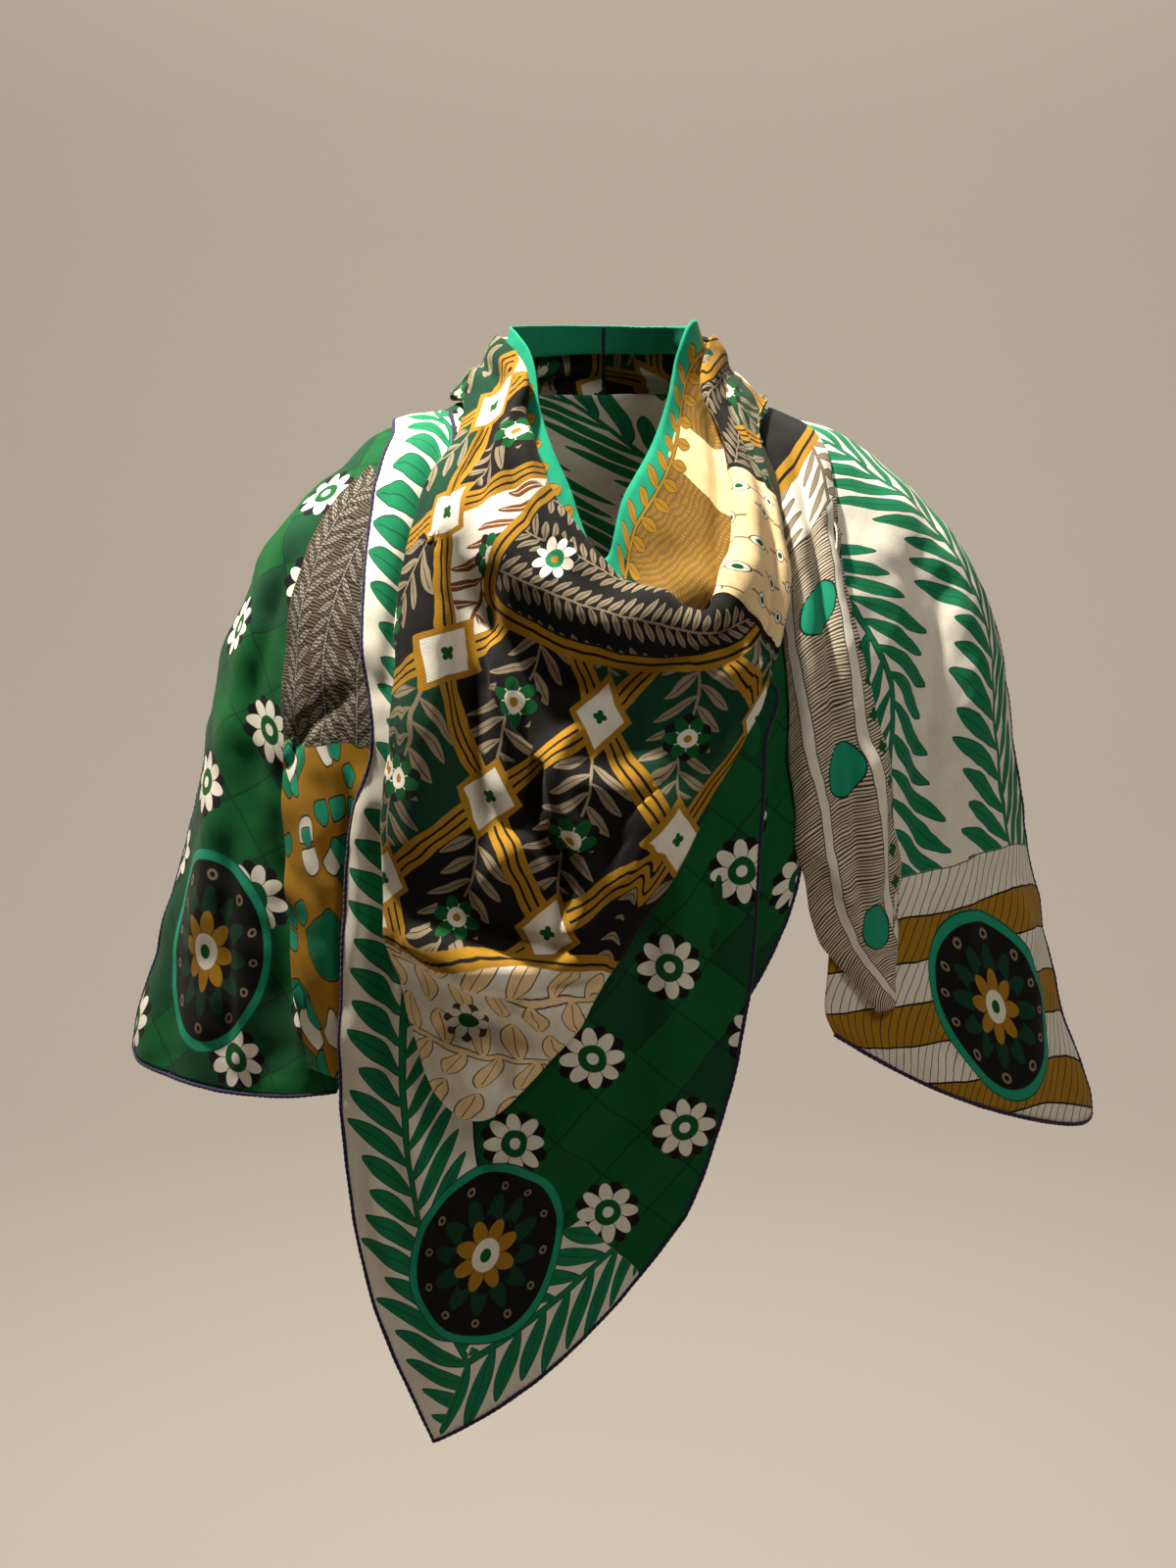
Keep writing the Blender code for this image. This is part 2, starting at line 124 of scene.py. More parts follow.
# Neck wrap: sections from the inner neck edge, over the rolled rim and down to the lowest swag.
# Columns: (azimuth, ring) at the left nape, left neck, left chest, lowest point, right chest,
# right neck and right nape, then the ring behind, then the lift at the sides, in front and behind.
NECK_WRAP = (
    # neck edge
    ((-54, 0.34), (-35, 0.95), (-14, 1.76), (-1, 2.77), (7, 1.86), (30, 0.95), (60, 0.16),
     0.28, 2.4, 2, 2.6),
    # inner valley
    ((-56, 0.78), (-36, 1.5), (-14, 2.6), (6, 3.6), (19, 4.05), (31, 3.2), (60, 1.02),
     0.72, 3.8, 5, 3.8),
    # rim
    ((-50.5, 0.46), (-35, 1.22), (-12.5, 2.22), (6.5, 3.26), (19, 3.82), (30.5, 2.95), (59, 0.64),
     0.46, 10, 15, 9.5),
    # roll crest
    ((-49, 0.56), (-36.5, 1.44), (-14.5, 2.5), (5, 3.45), (21, 3.78), (31.5, 2.95), (57.5, 0.74),
     0.54, 13.5, 24, 12.5),
    # roll
    ((-50, 0.8), (-38, 1.92), (-16.5, 3), (3.5, 3.87), (22.5, 3.97), (33, 3.15), (57, 0.98),
     0.78, 15.5, 27, 14.5),
    # valley under the roll
    ((-55, 1.08), (-38.5, 2.66), (-21.2, 3.95), (-0.6, 4.53), (24.6, 4.32), (34.7, 3.46), (60, 1.32),
     1.06, 14.5, 19, 12.5),
    # upper swag
    ((-57, 1.34), (-35.2, 3.67), (-24.4, 5.42), (-3.8, 6.11), (19.3, 5), (34.3, 3.76), (58.8, 1.6),
     1.32, 16.5, 20, 15.5),
    # lower swag
    ((-58, 1.62), (-35, 4.17), (-28.1, 6.55), (-11.1, 7.6), (14.4, 5.66), (33.3, 4), (57.4, 1.9),
     1.6, 15, 20, 12.5),
    # lower fold
    ((-60, 1.87), (-35.3, 4.66), (-29.7, 7.26), (-15.2, 8.8), (10.9, 6.19), (32.3, 4.23), (56, 2.16),
     1.87, 11.5, 18, 8.5),
    # turned under
    ((-60, 1.86), (-35.3, 4.65), (-29.7, 7.24), (-15.2, 8.77), (10.9, 6.17), (32.3, 4.21), (56, 2.15),
     1.86, 6.4, 10.8, 4.5),
)
# Rows of wall from each section to the next, and the print of each stretch: collar, roll or swag.
NECK_ROWS = (4, 3, 3, 3, 3, 5, 5, 5, 2)
NECK_PRINTS = (0, 1, 1, 1, 1, 2, 2, 2, 2)
BACK_AZIMUTHS = (112.0, 180.0, 248.0)
SIDE_STATIONS = (0, 6)

# Hanging sheets: sections from the top down, as seen from the front.
# Columns: azimuth and ring at the left, azimuth and ring at the right, rings that the middle drops,
# then the lift at the left, in the middle and at the right.
FRONT_POINT = (
    (-100, 2.6, -74, 1.8, 0, 3.8, 3.8, 3.6),
    (-75, 2.72, -58, 2.05, 0, 4.4, 4.4, 4.2),
    (-60, 3.3, -36, 3, 0, 7, 7, 6.5),
    (-48.5, 4.1, -5, 4, 0, 9.5, 8.5, 8),
    (-41, 5, 26, 4.7, 0, 9, 8, 8),
    (-36.1, 5.8, 24.3, 5.45, 0, 8.5, 8, 8),
    (-37.5, 6.76, 21.8, 6.5, 0, 8, 8, 8),
    (-36.8, 7.78, 19.7, 7.6, 0, 8, 8, 8),
    (-35.5, 8.8, 16.5, 8.5, 0.02, 8, 8, 8),
    (-32.4, 9.7, 14, 8.98, 0.07, 8, 8, 8),
    (-27.7, 10.62, 12, 9.33, 0.13, 8, 8, 8),
    (-20, 11.46, 9.5, 9.66, 0.19, 8, 8, 8),
)
UNDER_LAYER = (
    (14, 4.2, 37.5, 4.4, 0, 5.9, 4.5, 3),
    (13, 5, 34.8, 5, 0, 5.9, 4.5, 3),
    (12, 5.8, 32.2, 5.67, 0, 5.9, 4.5, 3),
    (11, 6.5, 29.9, 6.34, 0, 5.9, 4.5, 3),
    (10, 7.1, 27.5, 6.95, 0, 5.9, 4.5, 3),
    (9, 7.6, 23.9, 7.44, 0, 5.9, 5, 3.5),
    (8, 8.1, 18, 7.95, 0, 5.9, 5.9, 5.5),
)
SHOULDER_LEFT = (
    (-97, 1.7, -60, 1.6, 0, 1.2, 1.2, 1.2),
    (-97, 2.7, -58, 2.6, 0, -3, 1, 1.5),
    (-97, 3.7, -52, 3.5, 0, -8, -1, 1.5),
    (-97, 4.9, -44, 4.6, 0, -7, 0, 1.5),
    (-95, 6.1, -38, 5.8, 0, -1, 2, 1.5),
    (-89, 7.05, -36, 6.8, 0, 4, 3, 1.5),
    (-87, 8.1, -35, 7.8, 0, 8, 3.5, 1.5),
    (-86, 9, -34, 8.65, 0, 8, 3.5, 1.5),
    (-86, 9.62, -36, 9.12, 0.28, 7, 3.5, 1.5),
)
STRIP_LEFT = (
    (-67.5, 3.2, -60, 3.2, 0, 3.8, 4.2, 4.2),
    (-66, 3.86, -50, 3.9, 0, 4.8, 5.8, 5.8),
    (-60.3, 4.86, -39, 4.9, 0, 5, 6.2, 6),
    (-55.4, 5.9, -33.5, 5.9, 0, 5, 6.2, 6),
    (-52, 6.78, -34.5, 6.78, 0, 5, 6.2, 6),
    (-48.6, 7.61, -34, 7.61, 0, 5, 6.2, 6),
    (-44.7, 8.37, -33, 8.37, 0, 5, 6.2, 6),
    (-40.4, 9.01, -32, 8.95, 0, 5, 6.2, 6),
)
SHOULDER_RIGHT = (
    (62, 1.55, 97, 1.6, 0, 1.2, 1.2, 1.2),
    (56, 2.6, 97, 2.7, 0, 1.5, 1.5, 2),
    (50, 3.4, 97, 3.6, 0, 1.5, 1.5, 3),
    (43, 4.5, 96, 4.7, 0, 1.5, 2.5, 6),
    (38, 5.5, 95, 5.7, 0, 1.5, 3, 9),
    (35, 6.4, 90, 6.5, 0, 1.5, 3, 11),
    (33, 7.2, 87, 7.4, 0, 1.5, 2.5, 8),
    (31, 7.9, 86, 8.25, 0, 1.5, 2.5, 6),
    (30, 8.25, 86, 9.2, 0.25, 1.5, 2.5, 6),
    (31, 8.5, 86, 10.15, 0.5, 1.5, 3.5, 9),
)
BUNDLE_RIGHT = (
    (66, 1.9, 90, 1.9, 0, 3.4, 3.4, 3.4),
    (56, 2.35, 78, 2.55, 0, 4.4, 5.8, 4.4),
    (46, 3.1, 60, 3.3, 0, 5, 11, 4.9),
    (37.5, 3.8, 50, 4, 0, 5.5, 12, 4.2),
    (31.5, 4.6, 44, 4.9, 0, 6.5, 15, 4.2),
    (28.5, 5.5, 42.5, 5.8, 0, 7, 16, 4.2),
    (28.3, 6.37, 44, 6.7, 0, 6, 16, 4.2),
    (28.5, 7, 44.5, 7.3, 0, 5.5, 15, 4.2),
    (30.3, 7.58, 43, 7.8, 0, 5, 14, 4.2),
    (34.1, 8.06, 41.5, 8.2, 0, 5, 11, 4.2),
    (38, 8.45, 40.5, 8.5, 0, 4.5, 6, 4.2),
)
BACK_DRAPE = (
    (97, 1.6, 263, 1.7, -0.2, 1.2, 1.6, 1.2),
    (97, 2.7, 263, 2.7, 0, 2, 3, -3),
    (97, 3.6, 263, 3.7, 0.1, 3, 5, -8),
    (96, 4.7, 263, 4.9, 0.4, 6, 6, -7),
    (95, 5.7, 265, 6.1, 1.1, 9, 8, -1),
)

# Large folds, as soft ridges (height above 0) and troughs (below 0) between two places seen from the
# front, or from the front through the shawl for the back.
# Columns: x and z of the start, x and z of the end, sideways bow, half width and height, in millimetres.
FOLDS = {
    "upper_drape": (
        (-112, -70, -121, -255, 6, 15, 9), (-90, -95, -66, -190, -8, 11, -7),
        (-75, -140, 25, -212, -24, 13, 10), (-88, -215, 15, -248, -14, 11, -7),
        (-112, -292, 5, -318, -22, 14, 9), (10, -222, 70, -168, -8, 10, -5), (-74, -340, -76, -395, 3, 11, 5),
        (55, -150, 90, -135, -4, 12, 5),
    ),
    "front_point": (
        (-150, -225, -152, -420, -4, 9, 4), (-124, -425, -112, -500, 4, 10, 5),
        (-72, -490, -8, -426, 5, 14, 7), (-92, -455, -108, -610, 4, 13, 5), (40, -330, 30, -450, 6, 16, 5),
    ),
    "shoulder_left": (
        (-212, -110, -212, -400, 4, 12, -6), (-236, -130, -250, -390, -4, 14, 6),
        (-185, -48, -236, -200, -6, 12, 4),
    ),
    "shoulder_right": (
        (200, -70, 203, -270, 0, 14, -8), (232, -105, 245, -400, 5, 15, 5), (262, -290, 270, -425, 0, 12, 5),
    ),
    "back_drape": (
        (-70, -60, -125, -230, 8, 17, 11), (-28, -70, -52, -270, 4, 18, 10), (22, -75, 26, -280, 0, 17, 12),
        (70, -60, 112, -240, -8, 18, 10), (110, -45, 185, -160, -8, 16, 6), (-110, -45, -185, -170, 8, 16, 6),
    ),
}

# Finer creases of each piece, as soft ridges and troughs between two places seen from the front.
# Columns: x and z of the start, x and z of the end, sideways bow, half width and height, in millimetres.
CREASES = {
    "neck_wrap": (
        # left ridge of the swag and the deep trough beside it
        (-98, -20, -108, -262, -4, 13, 9), (-74, -92, -78, -236, -8, 9, -10.5),
        # valley under the roll, and the roll's own crest
        (-97, -72, -41, -146, -5, 9, -9), (-41, -146, 48, -141, -9, 9, -10.5),
        (48, -141, 88, -106, -3, 8, -8), (-88, -40, -11, -112, -6, 15, 9), (-11, -112, 78, -84, -8, 15, 9),
        # wide hollow below the roll
        (-58, -166, 22, -170, -6, 34, -11),
        # right part of the swag: a broad swell with a sharp S-shaped left edge
        (30, -192, 8, -280, 7, 19, 12), (-12, -172, -36, -205, -4, 8, 10), (-36, -205, -12, -262, 5, 8, 13),
        (-12, -262, -20, -302, 3, 8, 11), (-52, -172, -46, -232, 3, 10, -15),
        (-30, -244, -32, -292, 5, 7, -10),
        # lower left part: a swell across it, and the turned edge under both
        (-46, -242, -80, -286, -5, 12, 12), (-86, -298, -24, -308, -4, 6, -9), (-84, -320, 6, -308, -6, 7, 6),
        (-80, -334, -12, -330, -3, 5, -8),
        # lower fold
        (-124, -306, -30, -352, 7, 15, 17), (-104, -362, -52, -366, 4, 8, -7),
        (-108, -330, -80, -405, -3, 8, 6.5), (-72, -345, -64, -398, 2, 6, -4.5),
        (-58, -362, -54, -396, 2, 5, 3.5),
        # left edge of the roll, and its pleats at the left and at the right
        (-70, 34, -76, -76, -4, 6, -6.5), (-58, 4, -22, -88, -12, 5, -3.5), (-48, 0, -6, -88, -14, 5, 3),
        (66, 8, 66, -96, 4, 5, -5), (84, -6, 90, -112, 2, 8, 4), (60, -92, 86, -142, 3, 6, 3.5),
    ),
    "front_point": (
        # hollows where the swag lies on the corner
        (-85, -80, -85, -235, 0, 20, -7.5), (-70, -158, 30, -162, 0, 38, -12),
        (-50, -200, -60, -300, 0, 18, -6), (14, -205, -10, -290, 0, 18, -6),
        (-108, 0, -139, -150, -12, 9, 4.5), (-103, -14, -134, -158, -4, 5, -4),
        (-140, -235, -138, -400, 2, 6, -5), (-128, -315, -119, -450, -2, 7, 4.5),
        (-152, -180, -153, -330, 2, 5, 3), (-62, -448, 0, -402, -4, 9, 6.5), (-52, -470, 14, -426, -4, 8, -4),
        (-101, -439, -23, -503, 4, 7, -3.5), (-118, -480, -60, -524, -3, 10, 3),
        (24, -250, 16, -376, 3, 14, -5.5), (47, -257, 38, -345, 2, 10, 4.5), (70, -245, 62, -330, 3, 7, -3),
        (-30, -395, 36, -362, -4, 8, 3.5), (-146, -455, -128, -540, -4, 6, 3),
    ),
    "under_layer": (
        (88, -150, 84, -270, 3, 9, 3), (104, -160, 96, -250, 2, 5, -2),
    ),
    "shoulder_left": (
        (-262, -170, -282, -408, -6, 11, -6), (-280, -260, -292, -400, 2, 8, 4),
        (-203, -83, -212, -277, -15, 8, -6.5), (-232, -178, -268, -345, 3, 13, 5.5),
        (-204, -214, -200, -392, 0, 7, -5.5), (-222, -250, -228, -400, -4, 8, 3.5),
        (-246, -300, -240, -395, 4, 7, -3.5), (-186, -60, -226, -150, -8, 7, 4),
        (-226, -100, -248, -190, -5, 7, -3.5),
    ),
    "strip_left": (
        (-176, -85, -172, -350, -3, 13, 5), (-198, -204, -154, -158, 4, 5, -4.5),
        (-160, -215, -165, -345, 3, 5, -4), (-186, -110, -184, -190, -3, 6, 2),
    ),
    "shoulder_right": (
        (212, -100, 197, -276, -3, 8, -4.5), (226, -110, 236, -205, 3, 11, 4),
        (250, -190, 246, -330, -4, 10, -3), (266, -300, 278, -420, 3, 9, 4),
        (222, -250, 232, -405, 4, 9, 3.5), (206, -300, 214, -400, 0, 7, -3.5), (176, -45, 212, -92, 4, 7, 3),
    ),
    "bundle_right": (
        (118, -20, 143, -250, 8, 6, -8.5), (116, -47, 123, -262, 3, 8, 5), (159, -121, 168, -285, 3, 9, 6.5),
        (148, -157, 157, -320, 2, 5, -5.5), (132, -255, 160, -318, 4, 6, 5),
        (140, -60, 172, -160, 5, 5, -4.5), (176, -230, 172, -320, 0, 5, -3.5),
    ),
    "back_drape": (
        (-95, -78, -150, -250, 6, 8, 4), (-48, -88, -72, -262, 4, 7, -4.5), (0, -84, 4, -292, -3, 8, 4),
        (46, -88, 64, -262, -4, 7, -4.5), (92, -74, 142, -222, -6, 8, 4), (-10, -205, -22, -300, 2, 6, -3),
        (132, -58, 200, -190, -8, 8, -4), (-140, -58, -205, -200, 8, 8, -4),
        (-118, -200, -150, -290, 3, 7, 3.5), (96, -190, 118, -290, -3, 7, 3.5),
    ),
}

# Pleats of the neck wrap at its sides and behind, in its own flat millimetres, with the same columns.
PLEATS = (
    (188, 46, 430, -30, 6, 20, -6), (-186, 46, -430, -30, 6, 20, -6), (214, 34, 410, -26, 8, 6, 1.8),
    (228, 52, 420, -8, 6, 6, -1.6), (-206, 34, -395, -28, 8, 6, 1.8), (-218, 54, -405, -10, 6, 6, -1.6),
)

# Shallow waves that soften every piece of cloth: wavelength in millimetres, direction in degrees, share.
RIPPLES = (
    (74, 12, 1), (58, 78, 0.85), (47, 131, 0.7), (39, 44, 0.6), (31, 103, 0.45), (23, 159, 0.3),
    (17, 66, 0.2),
)


def chart(*numbers):
    """Grids of numbers as one grid of pairs or points."""
    return np.stack(np.broadcast_arrays(*numbers), axis=-1)


def spline(table, where):
    """Values of a table at fractional row numbers, along a smooth cubic curve through its rows."""
    last = len(table) - 1
    low = np.minimum(np.floor(where).astype(int), last - 1)
    part = (where - low).reshape(where.shape + (1,) * (table.ndim - 1))
    start = table[low]
    end = table[low + 1]
    before = np.where((low == 0).reshape(part.shape), 2 * start - end, table[np.maximum(low - 1, 0)])
    beyond = table[np.minimum(low + 2, last)]
    after = np.where((low == last - 1).reshape(part.shape), 2 * end - start, beyond)
    slope = (end - before) * part
    bend = (2 * before - 5 * start + 4 * end - after) * part ** 2
    twist = (3 * start - before - 3 * end + after) * part ** 3
    return 0.5 * (2 * start + slope + bend + twist)


def resown(table, where):
    """A table's values at fractional column numbers."""
    return np.swapaxes(spline(np.swapaxes(table, 0, 1), where), 0, 1)


def unit(vectors):
    """Vectors brought to length one."""
    return vectors / np.maximum(np.linalg.norm(vectors, axis=-1, keepdims=True), TINY)


def bare_hollow(azimuth, ring):
    """Points on the hollow: half width times sine across, depth times cosine in depth."""
    rows = spline(HOLLOW, np.clip(ring, 0, len(HOLLOW) - 1))
    half_width, side_z, front_y, front_z, back_y, back_z = np.moveaxis(rows, -1, 0)
    cosine = np.cos(np.radians(azimuth))
    sine = np.sin(np.radians(azimuth))
    depth = np.where(cosine > 0, front_y, back_y)
    middle_z = np.where(cosine > 0, front_z, back_z)
    height = side_z + (middle_z - side_z) * cosine ** 2
    return chart(half_width * sine, -depth * cosine, height)


def on_hollow(places):
    """Points lifted squarely off the hollow; the last axis holds azimuth, ring and lift."""
    azimuth, ring, lift = np.moveaxis(places, -1, 0)
    ring = np.clip(ring, NUDGE, len(HOLLOW) - 1 - NUDGE)
    along = bare_hollow(azimuth, ring + NUDGE) - bare_hollow(azimuth, ring - NUDGE)
    around = bare_hollow(azimuth + NUDGE, ring) - bare_hollow(azimuth - NUDGE, ring)
    return bare_hollow(azimuth, ring) + unit(np.cross(along, around)) * lift[..., None]


def fold_height(seen, folds):
    """Height over each place of a plane: rise * exp(-(distance / half width)^2), summed over the folds.

    Each fold is lower towards its ends, by the root of the sine along it.
    """
    height = np.zeros(seen.shape[:2])
    for start_x, start_z, end_x, end_z, bow, half_width, rise in folds:
        run = np.array((end_x - start_x, end_z - start_z), float)
        length = np.linalg.norm(run)
        offset = seen - np.array((start_x, start_z), float)
        along = offset @ run / length ** 2
        inside = np.clip(along, 0, 1)
        across = (offset[..., 1] * run[0] - offset[..., 0] * run[1]) / length
        across -= 4 * bow * inside * (1 - inside)
        beyond = (along - inside) * length
        distance = np.hypot(across, beyond) / half_width
        fullness = END_SHARE + (1 - END_SHARE) * np.sin(np.pi * inside) ** 0.5
        height += rise * np.exp(-distance ** 2) * fullness
    return height


def raised(places, folds):
    """Points of a sheet with its large folds, as seen from the front, added to its lift."""
    lifted = places.copy()
    lifted[..., 2] += fold_height(on_hollow(places)[..., (0, 2)], folds)
    return on_hollow(lifted)


def hanging_places(sections, rows_each, columns):
    """Places through a table of hanging sections, rows down and columns across."""
    last = len(sections) - 1
    down = spline(np.array(sections, float), np.linspace(0, last, last * rows_each + 1))[:, None, :]
    across = np.linspace(0, 1, columns)[None, :]
    left_azimuth, left_ring, right_azimuth, right_ring, drop, left, middle, right = np.moveaxis(down, -1, 0)
    azimuth = left_azimuth + (right_azimuth - left_azimuth) * across
    ring = left_ring + (right_ring - left_ring) * across + 4 * drop * across * (1 - across)
    bulge = 2 * (2 * middle - left - right) * across * (1 - across)
    lift = left + (right - left) * across + bulge
    return chart(azimuth, ring, lift)


def neck_places(rows_each, columns):
    """Places of the whole neck wrap, from behind, round the left, the front and the right, to behind."""
    table = []
    for *stations, back_ring, side_lift, front_lift, back_lift in NECK_WRAP:
        front = [(*station, side_lift if number in SIDE_STATIONS else front_lift)
                 for number, station in enumerate(stations)]
        table.append(front + [(azimuth, back_ring, back_lift) for azimuth in BACK_AZIMUTHS])
    table = np.array(table, float)
    turn = np.array((360.0, 0.0, 0.0))
    # Three stations of the turn before, then once round, then two beyond for the curve's end.
    table = np.concatenate([table[:, -3:] - turn, table, table[:, :2] + turn], axis=1)
    counts = np.array(NECK_ROWS) * rows_each
    steps = [number + np.arange(count) / count for number, count in enumerate(counts)]
    sections = spline(table, np.concatenate(steps + [[len(NECK_ROWS)]]))
    # Fewer columns behind, where the stations stand far apart and little shows.
    share = np.interp(np.linspace(0, 1, columns), (0, 0.12, 0.88, 1), (1, 3, 9, 11))
    return resown(sections, share)


def lengths(grid):
    """Distances run along the rows from the first column, and down the columns from the first row."""
    across = np.linalg.norm(np.diff(grid, axis=1), axis=-1)
    down = np.linalg.norm(np.diff(grid, axis=0), axis=-1)
    across = np.concatenate([np.zeros((grid.shape[0], 1)), np.cumsum(across, axis=1)], axis=1)
    down = np.concatenate([np.zeros((1, grid.shape[1])), np.cumsum(down, axis=0)])
    return across, down


def spread_flat(grid, rows, columns, rounds):
    """The flat cut of a curved grid: places on a plane whose distances match those along the surface.

    A coarse net of springs, joined to all eight neighbours, starts from the distances run along the rows
    and columns and is relaxed until its lengths settle; the fine places follow through a spline.
    """
    across, down = lengths(grid)
    flat = chart(across - across[:, [across.shape[1] // 2]], down)
    at_rows = np.linspace(0, grid.shape[0] - 1, rows)
    at_columns = np.linspace(0, grid.shape[1] - 1, columns)
    solid = resown(spline(grid, at_rows), at_columns)
    net = resown(spline(flat, at_rows), at_columns)
    ties = []
    for first, second in (
        (np.s_[:, :-1], np.s_[:, 1:]), (np.s_[:-1], np.s_[1:]),
        (np.s_[:-1, :-1], np.s_[1:, 1:]), (np.s_[:-1, 1:], np.s_[1:, :-1]),
    ):
        ties.append((first, second, np.linalg.norm(solid[second] - solid[first], axis=-1)))
    for _ in range(rounds):
        push = np.zeros_like(net)
        count = np.zeros(net.shape[:2])
        for first, second, rest in ties:
            step = net[second] - net[first]
            length = np.maximum(np.linalg.norm(step, axis=-1), TINY)
            pull = step * (0.5 * (1 - rest / length))[..., None]
            push[first] += pull
            push[second] -= pull
            count[first] += 1
            count[second] += 1
        net += NET_HASTE * push / count[..., None]
    # The middle column is turned upright.
    line = net[:, columns // 2]
    axis = unit(line[-1] - line[0])
    upright = chart((net - line[rows // 2]) @ np.array((axis[1], -axis[0])), (net - line[0]) @ axis)
    fine_rows = np.linspace(0, rows - 1, grid.shape[0])
    fine_columns = np.linspace(0, columns - 1, grid.shape[1])
    return resown(spline(upright, fine_rows), fine_columns)


def normals(grid):
    """Unit vectors square to a grid, from the cross product of its two slopes."""
    return unit(np.cross(np.gradient(grid, axis=0), np.gradient(grid, axis=1)))


def ripple(cloth, height):
    """Sum of slow sine waves over the cloth's own coordinates."""
    total = np.zeros(cloth.shape[:2])
    for wavelength, degrees, share in RIPPLES:
        turn = np.radians(degrees)
        phase = (cloth[..., 0] * np.cos(turn) + cloth[..., 1] * np.sin(turn)) / wavelength * 2 * np.pi
        total += share * np.sin(phase + degrees + 0.9 * np.sin(phase * 0.37 + wavelength))
    return total * height


def creased(grid, cloth, name, pleats=(), reach=1.0):
    """A grid moved along its normals by its fine creases, its pleats and the ripple of the cloth."""
    height = fold_height(grid[..., (0, 2)], CREASES[name]) * reach + fold_height(cloth, pleats)
    height += ripple(cloth, bpy.context.scene.shawl_sizes.ripple / MM)
    return grid + normals(grid) * height[..., None]


def joined_edges(grid, left, right, reach):
    """A grid whose outer columns are moved onto the panels beside it, the shift fading over some columns.

    Its first column meets the last one of the panel at the right, and its last the first at the left.
    """
    moved = grid.copy()
    distance = np.arange(grid.shape[1])
    for edge, column, away in ((right[:, -1], 0, distance), (left[:, 0], -1, distance[::-1])):
        fade = np.clip(1 - away / reach, 0, 1)[None, :, None]
        shift = edge[:len(grid)] - moved[:, column]
        moved += shift[:, None, :] * fade ** 2 * (3 - 2 * fade)
    return moved


def turned_edge(grid, at_end, radius, tuck):
    """A grid with its first or last column rolled under: a half circle, then a flat return."""
    order = slice(None, None, -1) if at_end else slice(None)
    flipped = grid[:, order]
    outward = unit(flipped[:, 0] - flipped[:, 2])
    up = normals(grid)[:, order][:, 1]
    columns = [-outward * tuck * share - up * 2 * radius for share in (1.0, 0.6, 0.25)]
    for angle in np.radians((180, 150, 120, 90, 60, 30)):
        columns.append(outward * radius * np.sin(angle) - up * radius * (1 - np.cos(angle)))
    rolled = np.stack([flipped[:, 0] + column for column in columns], axis=1)
    return np.concatenate([rolled, flipped], axis=1)[:, order]


def tugged(grid, corner, shift, reach):
    """A grid drawn out at one corner: shift * exp(-(distance / reach)^2)."""
    distance = np.linalg.norm(grid - grid[corner], axis=-1)
    return grid + np.array(shift) * np.exp(-(distance / reach) ** 2)[..., None]


def linked(name, mesh):
    """Object of a mesh, in the scene and on the root body."""
    piece = bpy.data.objects.new(name, mesh)
    bpy.context.scene.collection.objects.link(piece)
    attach(piece, "root")
    return piece


def quads_of(grid):
    """Corner numbers of a grid's faces, as rows and columns of four."""
    rows, columns = grid.shape[:2]
    corner = np.arange(rows * columns).reshape(rows, columns)
    return chart(corner[:-1, :-1], corner[1:, :-1], corner[1:, 1:], corner[:-1, 1:]).reshape(-1, 4)


def welded_mesh(name, points, quads, reach, charts=(), numbers=None):
    """Smooth mesh from points in metres and quads; points closer than the reach are joined."""
    mesh = bpy.data.meshes.new(name)
    mesh.from_pydata(points.tolist(), [], quads.tolist())
    for label, places in charts:
        layer = mesh.uv_layers.new(name=label)
        layer.data.foreach_set("uv", places.astype(np.float32).ravel())
    if numbers is not None:
        mesh.polygons.foreach_set("material_index", numbers.astype(np.int32))
    welded = bmesh.new()
    welded.from_mesh(mesh)
    bmesh.ops.remove_doubles(welded, verts=welded.verts, dist=reach)
    bmesh.ops.dissolve_degenerate(welded, edges=welded.edges, dist=reach * 0.01)
    welded.to_mesh(mesh)
    welded.free()
    mesh.shade_smooth()
    return mesh


def clothed(name, panels, materials):
    """Mesh object welded from panels: (grid, cloth map, hem map, material number of each row of faces)."""
    parts, base = [], 0
    for grid, cloth, hem, row_numbers in panels:
        rows, columns = grid.shape[:2]
        quads = quads_of(grid)
        numbers = np.repeat(np.broadcast_to(row_numbers, rows - 1), columns - 1)
        maps = (flat.reshape(-1, 2)[quads] for flat in (cloth, hem))
        parts.append((grid.reshape(-1, 3), quads + base, numbers, *maps))
        base += rows * columns
    points, quads, numbers, cloth, hem = (np.concatenate(part) for part in zip(*parts))
    charts = (("cloth", cloth), ("hem", hem))
    mesh = welded_mesh(name, points * MM, quads, SEAM_REACH * MM, charts, numbers)
    for material in materials:
        mesh.materials.append(material)
    piece = linked(name, mesh)
    wall = piece.modifiers.new("cloth_thickness", "SOLIDIFY")
    wall.thickness = bpy.context.scene.shawl_sizes.thickness
    wall.offset = 0.0
    return piece


def resampled(path, step):
    """Points about one step apart along a path, with the distance run to each."""
    run = np.concatenate([[0], np.cumsum(np.linalg.norm(np.diff(path, axis=0), axis=1))])
    count = max(2, int(run[-1] / step))
    at = np.linspace(0, run[-1], count)
    return np.stack([np.interp(at, run, path[:, axis]) for axis in range(3)], axis=1), at


